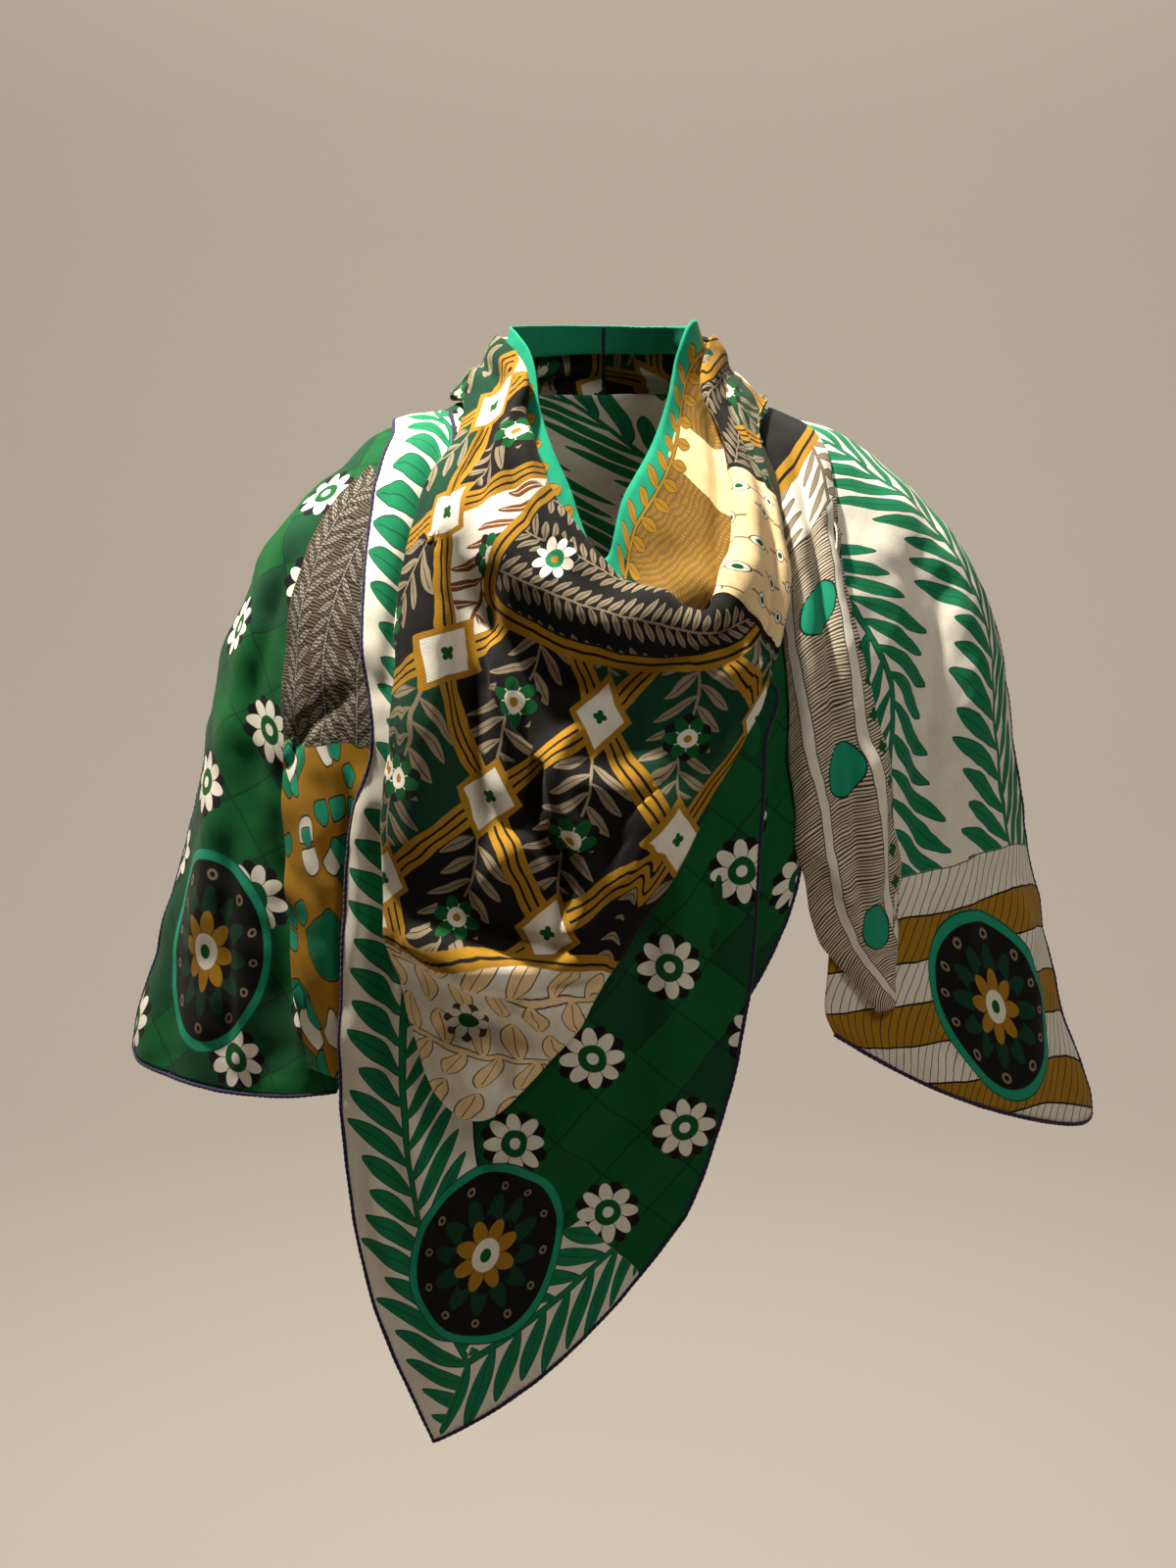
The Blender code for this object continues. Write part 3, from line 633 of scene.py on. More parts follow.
def rolled_hem(name, path, inward):
    """Beaded tube along a path: a circle carried along it, its radius swelling between the stitches."""
    sizes = bpy.context.scene.shawl_sizes
    centre, at = resampled(path, HEM_STEP)
    toward, _ = resampled(path + inward, HEM_STEP)
    spread = np.linspace(0, 1, len(centre)), np.linspace(0, 1, len(toward))
    toward = np.stack([np.interp(*spread, toward[:, axis]) for axis in range(3)], axis=1) - centre
    tangent = unit(np.gradient(centre, axis=0))
    side = unit(toward - (toward * tangent).sum(1, keepdims=True) * tangent)
    up = np.cross(tangent, side)
    stitch = np.abs(np.sin(np.pi * at / (sizes.hem_bead / MM) + 0.8 * np.sin(at / 37.0)))
    plain_radius = sizes.hem_width / MM / 2
    radius = plain_radius * (0.80 + 0.24 * stitch + 0.07 * np.sin(at / 11.0) * np.sin(at / 4.3))
    angles = np.linspace(0, 2 * np.pi, HEM_SIDES + 1)
    ring = np.cos(angles)[None, :, None] * side[:, None, :] + np.sin(angles)[None, :, None] * up[:, None, :]
    middle = centre + side * 0.5 + up * (0.25 * np.sin(at / 23.0))[:, None]
    tube = middle[:, None, :] + ring * radius[:, None, None]
    ends = [np.repeat(middle[[end]][:, None, :], len(angles), axis=1) for end in (0, -1)]
    tube = np.concatenate([ends[0], tube, ends[1]])
    at = np.concatenate([[at[0]], at, [at[-1]]])
    cloth = chart(angles[None, :] * plain_radius, at[:, None])
    quads = quads_of(tube)
    mesh = welded_mesh(
        name, tube.reshape(-1, 3) * MM, quads, 0.005 * MM, (("cloth", cloth.reshape(-1, 2)[quads]),))
    mesh.materials.append(hem_finish())
    piece = linked(name, mesh)
    return piece


class Ink:
    """A number that changes over the cloth: a shader socket whose arithmetic adds Math nodes."""

    def __init__(self, tree, socket):
        self.tree = tree
        self.socket = socket

    def made(self, operation, *others):
        """The result of one Math node on this number and others."""
        return Ink(self.tree, added(self.tree, "Math", self, *others, operation=operation).outputs[0])

    __add__ = partialmethod(made, "ADD")
    __sub__ = partialmethod(made, "SUBTRACT")
    __mul__ = __rmul__ = partialmethod(made, "MULTIPLY")
    __truediv__ = partialmethod(made, "DIVIDE")
    __abs__ = partialmethod(made, "ABSOLUTE")
    least = partialmethod(made, "MINIMUM")
    most = partialmethod(made, "MAXIMUM")
    power = partialmethod(made, "POWER")
    whole = partialmethod(made, "FLOOR")
    sine = partialmethod(made, "SINE")

    def __rsub__(self, other):
        return self * -1.0 + other

    def flipped(self):
        """One minus this number."""
        return 1.0 - self

    def cell(self):
        """Place in a cell one long, from -0.5 to 0.5."""
        return self - self.whole() - 0.5

    def soft(self, blur=0.3):
        """0 below zero and 1 above it, with a soft step of the given width each side."""
        node = added(self.tree, "MapRange", self, -blur, blur, interpolation_type="SMOOTHSTEP")
        return Ink(self.tree, node.outputs["Result"])


def connect(entry, value):
    """Link a socket to an Ink or a socket, or give it a plain value."""
    if isinstance(value, Ink):
        value.tree.links.new(value.socket, entry)
    elif isinstance(value, bpy.types.NodeSocket):
        entry.id_data.links.new(value, entry)
    else:
        entry.default_value = value


def added(tree, kind, *values, **settings):
    """A new shader node with its settings, and its first inputs linked or given values."""
    node = tree.nodes.new("ShaderNode" + kind)
    for label, value in settings.items():
        setattr(node, label, value)
    for entry, value in zip(node.inputs, values):
        connect(entry, value)
    return node


def length_of(x, y):
    """Distance from the origin: the root of x squared plus y squared."""
    return (x * x + y * y).made("SQRT")


def point(x, *others):
    """A vector socket from two or three numbers."""
    return added(x.tree, "CombineXYZ", x, *others).outputs[0]


def mottle(x, y, wavelength, detail=2.0):
    """Smooth random number about 0.5, its blotches about one wavelength across."""
    node = added(x.tree, "TexNoise", point(x, y))
    node.inputs["Scale"].default_value = 1.0 / wavelength
    node.inputs["Detail"].default_value = detail
    return Ink(x.tree, node.outputs["Fac"])


def chance(x, y):
    """One random number for each whole pair of numbers."""
    node = added(x.tree, "TexWhiteNoise", point(x, y), noise_dimensions="2D")
    return Ink(x.tree, node.outputs["Value"])


def grouped(name, draw, outputs, inputs):
    """Shader node group with named number inputs and outputs, filled by a drawing function."""
    tree = bpy.data.node_groups.new(name, "ShaderNodeTree")
    for label, default in inputs.items():
        entry = tree.interface.new_socket(label.capitalize(), in_out="INPUT", socket_type="NodeSocketFloat")
        entry.default_value = default
    for label in outputs:
        tree.interface.new_socket(label, in_out="OUTPUT", socket_type="NodeSocketFloat")
    start = tree.nodes.new("NodeGroupInput")
    end = tree.nodes.new("NodeGroupOutput")
    drawn = draw(*(Ink(tree, start.outputs[number]) for number in range(len(inputs))))
    for entry, value in zip(end.inputs, drawn):
        connect(entry, value)
    return tree


def pattern(name, outputs, **inputs):
    """Turn a drawing function into a shader node group, made once, that is placed by calling it."""
    def wrap(draw):
        def placed(*values):
            tree = values[0].tree
            group = bpy.data.node_groups.get(name) or grouped(name, draw, outputs.split(), inputs)
            node = added(tree, "Group", *values, node_tree=group)
            made = [Ink(tree, output) for output in node.outputs]
            return made if len(made) > 1 else made[0]
        return placed
    return wrap


@pattern("twill_weave", "Tone Height", across=0, down=0, pitch=1.1)
def weave(across, down, pitch):
    """Twill: slanting ribs, wool fibres and slow unevenness. Puts out a tone about 1 and a height."""
    rib = ((across + down) / pitch * (2 * np.pi)).sine()
    thread = ((across - down * 0.4) / pitch * (4 * np.pi)).sine()
    fibre = mottle(across * 0.7, down, 0.9, 3.0)
    slub = mottle(across, down * 0.25, 3.2)
    cloud = mottle(across, down, 17.0)
    tone = fibre * 0.34 + slub * 0.16 + cloud * 0.20 + rib * 0.03 + 0.65
    return tone, rib * 0.30 + thread * 0.12 + fibre * 1.3 + slub * 0.5


@pattern("leaf_sprig", "Leaf Edge Vein", across=0, down=0, spacing=18, length=40, width=9, lean=0.6)
def sprig(across, down, spacing, length, width, lean):
    """Leaves on both sides of a straight stem: half width is width / 2 * sine(pi * part of length) ^ 0.8."""
    out = abs(across)
    side = across.made("SIGN")
    run = down + side * spacing * 0.25 - out * lean + out * out * 0.003
    number = (run / spacing).whole()
    off = abs(run - (number + 0.5) * spacing)
    reach = length * (chance(number, side) * 0.30 + 0.70)
    part = (out / reach).least(1.0)
    half = (part * np.pi).sine().most(0.0).power(0.8) * width * 0.5
    stem = out * -1.0 + width * 0.10
    shape = (half - off - (out - reach).soft(0.5) * 3.0).most(stem)
    vein = (0.32 - off).soft(0.25) * (half - width * 0.22).soft(0.5)
    return shape.soft(), (shape + 0.8).soft(), vein


@pattern("rosette", "Petal Gap Ray Core Eye", x=0, y=0, radius=10, petals=8)
def rosette(x, y, radius, petals):
    """Flower: its edge is radius * (0.58 + 0.42 * |cosine(petals * angle / 2)|), dark points between."""
    reach = length_of(x, y)
    turn = y.made("ARCTAN2", x) * petals * 0.5
    lobe = abs(turn.made("COSINE"))
    petal = (radius * (lobe * 0.42 + 0.58) - reach).soft()
    gap = (radius * (abs(turn.sine()) * 0.36 + 0.74) - reach).soft()
    ray = (0.13 - lobe).soft(0.05) * petal * (reach - radius * 0.42).soft()
    return petal, gap, ray, (radius * 0.44 - reach).soft(), (radius * 0.18 - reach).soft()


def slanted(one, two):
    """For a slanting cell: its random number, places in it from -0.5 to 0.5, and their sum and difference."""
    a, b = one.cell(), two.cell()
    return chance(one.whole(), two.whole()), a, b, a + b, a - b


@pattern("tile_field", "Shade Joint X Y", across=0, down=0, size=60)
def tiles(across, down, size):
    """Slanting square tiles: a tone for each, a dark joint between them, and places from each centre."""
    shade, a, b, x, y = slanted((across + down) / size, (across - down) / size)
    near = 0.5 - abs(a).most(abs(b))
    return shade, (near * size * -1.0 + 0.8).soft(), x * size * 0.5, y * size * 0.5


@pattern("lozenge_lattice", "Strip Rule Lozenge Panel Luck X Y CrossX CrossY",
         across=0, down=0, width=96, height=130, band=6.5)
def lattice(across, down, width, height, band):
    """Lozenge lattice of ruled bands, a small lozenge on each crossing, and places in each cell."""
    scale = width * height / length_of(width, height)
    one = across / width + down / height
    two = across / width - down / height
    luck, a, b, x, y = slanted(one, two)
    off_a = (0.5 - abs(a)) * scale
    off_b = (0.5 - abs(b)) * scale
    near = off_a.least(off_b)
    far = off_a.most(off_b)
    rule = (0.75 - abs(near - band * 0.36)).soft(0.25)
    cross_a = one - (one + 0.5).whole()
    cross_b = two - (two + 0.5).whole()
    return (
        (band - near).soft(), rule, (band * 2.3 - far).soft(), (band * 1.75 - far).soft(), luck,
        x * width * 0.5, y * height * 0.5,
        (cross_a + cross_b) * width * 0.5, (cross_a - cross_b) * height * 0.5)


@pattern("medallion", "Field Rim Line Turn Reach", x=0, y=0, width=50, height=60)
def medallion(x, y, width, height):
    """Rounded lozenge: (|x / width|^1.9 + |y / height|^1.9)^(1 / 1.9) is 1 on its edge."""
    total = abs(x / width).power(1.9) + abs(y / height).power(1.9)
    reach = total.power(1 / 1.9)
    edge = (1.0 - reach) * width
    field = edge.soft(0.4)
    return field, field - (edge - 5.4).soft(0.4), field - (edge - 0.7).soft(), y.made("ARCTAN2", x), reach


@pattern("pen_hatch", "Stroke", across=0, down=0, pitch=2.1)
def hatch(across, down, pitch):
    """Pen strokes across the cloth, wandering and broken by a slow random number."""
    wander = mottle(across, down, 26.0) * 9.0 + mottle(across * 0.3, down, 5.0) * 1.2
    wave = ((down + wander) / pitch * (2 * np.pi)).sine()
    broken = mottle(across * 0.35, down * 1.4, 3.4)
    return [(wave + (broken - 0.5) * 2.2 - 0.05).soft(0.35)]


@pattern("pebbles", "Stone Outline Shade", across=0, down=0, size=17)
def pebbles(across, down, size):
    """Rounded stones between wide joints: the nearer of a random cell's edge and a circle in it."""
    tree = across.tree
    place = point(across / size, down / (size * 1.6))
    cells = []
    for feature in ("DISTANCE_TO_EDGE", "F1"):
        node = added(tree, "TexVoronoi", place, feature=feature, voronoi_dimensions="2D")
        node.inputs["Scale"].default_value = 1.0
        node.inputs["Randomness"].default_value = 0.85
        cells.append(node)
    split = added(tree, "SeparateColor", cells[1].outputs["Color"])
    joint, centre = (Ink(tree, node.outputs["Distance"]) for node in cells)
    off = ((joint - 0.09) * size).made("SMOOTH_MIN", (0.50 - centre) * size, 3.0)
    stone = off.soft()
    return stone, (off + 0.7).soft() - stone, Ink(tree, split.outputs[0])


@pattern("beads", "Ring Fill Seed String", across=0, down=0, spacing=27)
def beads(across, down, spacing):
    """Ringed beads on slanting strings, one in each cell of a staggered grid."""
    row = (down / spacing).whole()
    x = across / spacing + row * 0.5
    off = chance(x.whole(), row) - 0.5
    x = x.cell() * spacing - off * spacing * 0.35
    y = (down / spacing).cell() * spacing + off * spacing * 0.25
    reach = length_of(x * 1.35, y)
    fill = (4.3 - reach).soft()
    string = (0.75 - abs(x - y * 0.32)).soft(0.25) * (reach - 5.0).soft()
    return (5.0 - reach).soft() - fill, fill, (2.4 - reach).soft(), string


class Cloth:
    """A cloth material under way: its coordinates in millimetres, its colour so far and its inks."""

    def __init__(self, name, hue_name):
        self.material = bpy.data.materials.new(name)
        self.material.use_nodes = True
        self.tree = self.material.node_tree
        self.shader = self.tree.nodes["Principled BSDF"]
        self.sizes = bpy.context.scene.shawl_sizes
        self.plain_across, self.plain_down = self.chart("cloth")
        drift_x = mottle(self.plain_across, self.plain_down, 29.0) - 0.5
        drift_y = mottle(self.plain_down, self.plain_across, 31.0) - 0.5
        self.across = self.plain_across + drift_x * 5.0
        self.down = self.plain_down + drift_y * 5.0
        self.colour = self.ink(hue_name)

    def chart(self, label):
        """The two numbers of one of the piece's UV maps."""
        read = added(self.tree, "UVMap", uv_map=label)
        split = added(self.tree, "SeparateXYZ", read.outputs[0])
        return Ink(self.tree, split.outputs[0]), Ink(self.tree, split.outputs[1])

    def ink(self, hue_name):
        """A printing colour by its name."""
        return (*getattr(bpy.context.scene.shawl_colours, hue_name), 1.0)

    def mix(self, over, mask, blend="MIX"):
        """Mix a colour with what is there, as far as the mask says."""
        node = added(self.tree, "Mix", data_type="RGBA", blend_type=blend)
        connect(node.inputs[MIX_FACTOR], mask)
        connect(node.inputs[MIX_UNDER], self.colour)
        connect(node.inputs[MIX_OVER], over)
        self.colour = node.outputs[MIX_RESULT]

    def lay(self, *prints, inside=1.0):
        """Lay colours over what is there, one after another, where their masks and the shared one are 1."""
        for hue_name, mask in prints:
            self.mix(self.ink(hue_name), mask * inside)

    def finished(self, roughness=0.88, sheen=0.035, grain=0.5):
        """The material with its weave, nap and sheen."""
        tone, height = weave(self.plain_across, self.plain_down, self.sizes.weave_pitch / MM)
        self.mix(point(tone, tone, tone), 1.0, "MULTIPLY")
        connect(self.shader.inputs["Base Color"], self.colour)
        bump = added(self.tree, "Bump")
        bump.inputs["Strength"].default_value = grain
        bump.inputs["Distance"].default_value = 0.25 * MM
        connect(bump.inputs["Height"], height)
        connect(self.shader.inputs["Normal"], bump.outputs[0])
        for label, value in (
            ("Roughness", roughness), ("Specular IOR Level", 0.15), ("Sheen Weight", sheen),
            ("Sheen Roughness", 0.45), ("Sheen Tint", (1.0, 0.96, 0.90, 1.0)),
        ):
            self.shader.inputs[label].default_value = value
        return self.material


def sprigs(across, down, apart, *sizes):
    """Leaf sprigs on wavy stems a set distance apart, every second one pointing the other way."""
    wavy = across + ((down / 34.0).sine() + (down / 13.0).sine() * 0.3) * apart * 0.045
    turn = (wavy / apart + 0.5).whole()
    way = (turn * 0.5).cell() * 4.0 + 1.0
    return sprig(wavy - turn * apart, (down + chance(turn, 3.0) * 60.0) * way, *sizes)


def green_leaves(cloth, leaf, edge, vein, inside=1.0):
    """Print green leaves with dark outlines and veins."""
    cloth.lay(("deep_green", edge), ("leaf_green", leaf), ("deep_green", vein), inside=inside)


def flower(cloth, x, y, radius, petals, *hue_names):
    """Print a rosette in the colours of its ground, petals, rays, heart and eye; None leaves one out."""
    petal, gap, ray, core, eye = rosette(x, y, radius, petals)
    for hue_name, mask in zip(hue_names, (gap, petal, ray, core, eye)):
        if hue_name:
            cloth.lay((hue_name, mask))


def bands(cloth, depth, blur, *steps):
    """Print bands one over another, each from its own depth on."""
    for hue_name, reach in steps:
        cloth.lay((hue_name, (depth + reach).soft(blur)))


def leaf_field(cloth):
    """Print the green leaf sprigs on their ground."""
    green_leaves(cloth, *sprigs(cloth.across + 46.0, cloth.down, 104.0, 20.0, 50.0, 15.5, 1.25))


def lattice_field(cloth):
    """Print the gold lozenge lattice: black, green and ivory cells, each with a flower and leaves."""
    sizes = cloth.sizes
    strip, rule, lozenge, panel, luck, x, y, cross_x, cross_y = lattice(
        cloth.across, cloth.down, sizes.lattice_width / MM, sizes.lattice_height / MM, 6.8)
    column = abs(cloth.across - x - PALE_COLUMN)
    pale = (GREEN_ABOVE - luck).soft(0.01) * (5.0 - column).soft(1.0)
    near = (33.0 - length_of(x, y * 0.72)).soft(1.0)
    leaf, _, vein = sprig(x + (y / 15.0).sine() * 4.0, y + 4.0, 14.0, 25.0, 8.0, 0.9)
    dark_near, pale_near = near * pale.flipped(), near * pale
    cloth.lay(
        ("deep_green", (luck - GREEN_ABOVE).soft(0.01)), ("ivory", pale),
        ("grey_brown", leaf * dark_near), ("rust", leaf * pale_near),
        ("black", vein * dark_near), ("ivory", vein * pale_near))
    flower(cloth, x, y - 6.0, 14.0, 6.0, "black", "tile_green", "ivory", "ivory", "ochre")
    cloth.lay(("ochre", strip), ("black", rule), ("ochre", lozenge), ("ivory", panel))
    flower(cloth, cross_x, cross_y, 4.6, 4.0, None, "tile_green")


def tile_print(name):
    """Green blocks with thin dark joints and a pale flower on every second crossing."""
    cloth = Cloth(name, "tile_green")
    size = cloth.sizes.tile_size / MM
    shade, joint, _, _ = tiles(cloth.across + size * 0.25, cloth.down, size * 0.5)
    cloth.lay(("deep_green", (shade - 0.70).soft(0.02) * 0.75), ("black", joint * 0.55))
    _, _, x, y = tiles(cloth.across, cloth.down, size)
    flower(cloth, x, y, size * 0.190, 8.0, "black", "ivory", "grey_brown", "tile_green", "ivory")
    return cloth


def corner_print(cloth, x, y, width, height):
    """Print one dark corner medallion: teal rim, a ring of dots and two rosettes, one in the other."""
    field, rim, line, turn, reach = medallion(x, y, width, height)
    cloth.lay(("black", field), ("teal", rim), ("deep_green", line))
    squat = y * (width / height)
    flower(cloth, x, squat, width * 0.66, 12.0, None, "deep_green", "grey_brown")
    step = (turn * (12 / (2 * np.pi)) + 0.5).cell() * (width * 0.40)
    dot = length_of(step, (reach - 0.76) * width)
    cloth.lay(("grey_brown", (2.6 - dot).soft()), ("black", (1.3 - dot).soft()))
    flower(cloth, x, squat, width * 0.40, 8.0, "black", "ochre", "rust", "ivory", "tile_green")


def left_shoulder_print():
    """Green blocks, with a medallion near the corner over the left arm."""
    cloth = tile_print("left_shoulder_print")
    side, low = cloth.chart("hem")
    corner_print(cloth, side - 72.0, low - 88.0, 48.0, 66.0)
    return cloth.finished()


def right_shoulder_print():
    """Green leaves on ivory, a striped end and a medallion near the corner over the right arm."""
    cloth = Cloth("right_shoulder_print", "ivory")
    leaf_field(cloth)
    side, low = cloth.chart("hem")
    depth = cloth.down - 374.0 - cloth.across * 0.27
    band = (depth / 56.0).cell()
    slant = ((cloth.across + cloth.down * 0.7) / 8.0).cell()
    lines = (0.05 - abs(slant)).soft(0.02)
    ends = (abs(abs(band) - 0.25) - 0.238).soft(0.004)
    cloth.lay(
        ("ivory", 1.0), ("ochre", band.soft(0.01)), ("black", lines.most(ends)),
        inside=depth.soft(0.4))
    corner_print(cloth, side - 84.0, low - 74.0, 45.0, 64.0)
    return cloth.finished()


def front_corner_print():
    """Front corner: leaf borders along both hems, green blocks inside, a medallion at the corner."""
    cloth = tile_print("front_corner_print")
    side, low = cloth.chart("hem")
    along_side = (88.0 - side).soft(0.4)
    along_low = (74.0 - low).soft(0.4) * (176.0 - side - low * 0.4).soft(0.4)
    mitre = (side - low * 1.15).soft(0.6)
    cloth.lay(("ivory", along_side.most(along_low)))
    for across, down, inside in (
        (side - 45.0, low, along_side * mitre.flipped()), (low - 37.0, side * -1.0, along_low * mitre),
    ):
        green_leaves(cloth, *sprig(across, down, 20.0, 43.0, 15.5, 1.2), inside=inside)
    rule = 0.7 - abs((side - 88.0).least(90.0))
    cloth.lay(("black", rule.soft() * (low - 74.0).soft(0.5)))
    corner_print(cloth, side - 82.0, low - 94.0, 55.0, 58.0)
    return cloth.finished()


def ended_by_band(cloth):
    """Print a double gold band along the piece's inner side and finish the cloth."""
    side, _ = cloth.chart("hem")
    bands(cloth, side * -1.0, 0.4, ("black", 14.0), ("ochre", 12.5), ("black", 6.5), ("ochre", 5.2))
    return cloth.finished()


def back_leaf_print():
    """Leaves across the back, ended by a double gold band."""
    cloth = Cloth("back_leaf_print", "ivory")
    leaf_field(cloth)
    return ended_by_band(cloth)


def back_tile_print():
    """Green blocks on the rest of the back, ended by the same band."""
    return ended_by_band(tile_print("back_tile_print"))


def under_layer_print():
    """Green blocks on the layer that shows beside the front corner."""
    return tile_print("under_layer_print").finished()


def collar_print():
    """Inner turn of the neck: teal along the edge, then pen-hatched gold, with leaves over both."""
    cloth = Cloth("collar_print", "teal")
    across, down = cloth.across, cloth.down
    edge_run, _ = cloth.chart("hem")
    right = (across - 30.0).soft(0.6)
    front = (260.0 - abs(across - 40.0)).soft(20.0)
    gold = (edge_run - 20.0 + (across / 21.0).sine() * 2.5).soft(0.4) * front
    strokes = hatch(down, across, 2.6).most(hatch(across, down, 4.4))
    cloth.lay(
        ("black", (gold - (edge_run - 21.3).soft(0.4)) * front),
        ("ochre", gold * right), ("pen", strokes * gold * right * 0.6),
        ("apricot", (24.0 - abs(across - 176.0)).soft(0.4) * gold),
        ("deep_green", gold * right.flipped()))
    leaf, edge, vein = sprig(edge_run - 22.0, across, 24.0, 18.0, 12.0, 0.5)
    cloth.lay(("deep_green", edge), ("ochre", leaf * vein.flipped()), inside=front)
    return cloth.finished()


def roll_print():
    """Rolled rim: the lattice, a black field of fine leaves in front and pale beaded cloth at the right."""
    cloth = Cloth("roll_print", "black")
    across, down = cloth.across, cloth.down
    lattice_field(cloth)
    lower = 101.0 - down - (across + 30.0) * (across + 30.0) * 0.0010
    dark = lower.made("SMOOTH_MIN", across + 94.0, 16.0).least(down + 6.0)
    bands(cloth, dark, 0.4, ("ochre", 12.0), ("black", 7.6), ("ochre", 5.6), ("black", 1.4))
    leaf, _, vein = sprigs(down, across, 27.0, 8.0, 12.5, 5.6, 0.8)
    cloth.lay(("grey_brown", leaf), ("black", vein), inside=dark.soft(0.4))
    flower(cloth, across + 64.0, down - 62.0, 14.0, 8.0, "black", "ivory", "black", "leaf_green", "ochre")
    beaded_field(cloth)
    return cloth.finished()


def beaded_field(cloth):
    """Print the pale field of ringed beads on strings at the right of the neck."""
    run = cloth.across - cloth.down * 0.35
    border = (run - 70.0).soft(0.5) * (182.0 - run).soft(0.5)
    inside = (run - 74.0).soft(0.5) * (178.0 - run).soft(0.5)
    ring, fill, seed, string = beads(cloth.across, cloth.down, 22.0)
    cloth.lay(("black", border), ("apricot", inside))
    cloth.lay(("grey_brown", string), ("black", ring), ("ivory", fill), ("tile_green", seed), inside=inside)


def drape_print():
    """Swag: the lattice on black, ended by an ivory field of pale leaves at the lower fold."""
    cloth = Cloth("drape_print", "black")
    across, down = cloth.across, cloth.down
    lattice_field(cloth)
    depth = down - 306.0 + across * 0.12 + (across / 40.0).sine() * 4.0
    leaf, edge, vein = sprigs(down, across, 46.0, 22.0, 26.0, 13.0, 0.5)
    cloth.lay(("ochre", (depth + 9.0).soft(0.4)), ("black", (0.8 - abs(depth + 3.6)).soft()))
    cloth.lay(("ivory", 1.0), ("pen", edge), ("apricot", leaf), ("pen", leaf * vein), inside=depth.soft(0.4))
    flower(cloth, across + 34.0, down - 352.0, 12.0, 7.0, "pen", "ivory", "pen", "tile_green")
    beaded_field(cloth)
    return cloth.finished()


def strip_print():
    """Folded strip: pebbles of green and ivory on gold, brown pen hatching and long plumes above."""
    cloth = Cloth("strip_print", "ochre")
    across, down = cloth.across, cloth.down
    for size, offset, rarity, hue_name in (
        (30.0, 0.0, 0.42, "leaf_green"), (17.0, 40.0, 0.66, "ivory"), (12.0, 90.0, 0.74, "teal"),
    ):
        stone, outline, shade = pebbles(across + offset, down, size)
        cloth.lay(("black", outline), (hue_name, stone), inside=(shade - rarity).soft(0.01))
    stroke = hatch(across, down, 2.2)
    leaf, edge, vein = sprigs(across + 26.0, down, 26.0, 11.0, 14.0, 6.6, 1.1)
    cloth.lay(
        ("rust", 0.9), ("black", 0.93), ("grey_brown", stroke * 0.5), ("black", edge),
        ("ivory", leaf * 0.35), ("pen", (leaf * vein + stroke * leaf).least(1.0)),
        inside=(182.0 - down + (across / 17.0).sine() * 5.0).soft(0.5))
    return cloth.finished()


def bundle_print():
    """Gathered end: pen hatching on ivory, white bars edged in black, green flowers and teal dots."""
    cloth = Cloth("bundle_print", "ivory")
    across, down = cloth.across, cloth.down
    run = across - down * 0.06 + (down / 60.0).sine() * 4.0
    reach = length_of(run - 24.0, (down / 105.0).cell() * 105.0 * 0.8)
    cloth.lay(
        ("apricot", 0.35), ("grey_brown", 0.15),
        ("pen", hatch(across * 0.4, down + (across / 14.0).sine() * 5.0, 2.2)),
        ("black", (13.2 - reach).soft()), ("teal", (12.4 - reach).soft()))
    for place, width in ((5.0, 2.6), (41.0, 3.4), (61.0, 2.8), (72.0, 3.2)):
        bands(cloth, width - abs(run - place), 0.25, ("pen", 0.6), ("ivory", 0.0))
    flower(cloth, run - 51.0, (down / 21.0).cell() * 21.0, 4.4, 4.0, None, "tile_green")
    top = 108.0 - down - across * 0.2
    leaf, edge, _ = sprigs(across, down, 44.0, 14.0, 22.0, 7.0, 0.8)
    bands(cloth, top, 0.3, ("pen", 1.0), ("ivory", 0.0))
    cloth.lay(("pen", edge), ("grey_brown", leaf), inside=top.soft())
    bands(cloth, top, 0.3, ("ochre", -46.0), ("black", -53.0), ("ochre", -56.0), ("black", -63.0))
    return cloth.finished()


def hem_finish():
    """Navy thread of the rolled hem: fine slanting turns along its length."""
    made = bpy.data.materials.get("rolled_hem")
    return made or Cloth("rolled_hem", "navy").finished(roughness=0.8, sheen=0.2, grain=0.7)


def metres(name, description, default):
    """A length as a property."""
    return FloatProperty(name=name, description=description, default=default, unit="LENGTH", precision=5)


class ShawlSizes(PropertyGroup):
    """Sizes of the cloth, its hem and its print."""

    thickness: metres("Thickness", "Thickness of the cloth", 0.0008)
    ripple: metres("Ripple", "Height of the cloth's shallow waves", 0.00045)
    hem_width: metres("Hem width", "Width of the rolled hem", 0.0028)
    hem_bead: metres("Hem stitch", "Distance between the hem's stitches", 0.0042)
    weave_pitch: metres("Twill rib", "Distance between the ribs of the twill", 0.0011)
    tile_size: metres("Tile", "Size of the tile pattern", 0.104)
    lattice_width: metres("Lattice width", "Width of the lozenge lattice", 0.104)
    lattice_height: metres("Lattice height", "Height of the lozenge lattice", 0.142)


def hue(name, description, default):
    """A printing colour as a property."""
    return FloatVectorProperty(
        name=name, description=description, subtype="COLOR", size=3, min=0.0, max=1.0, default=default)


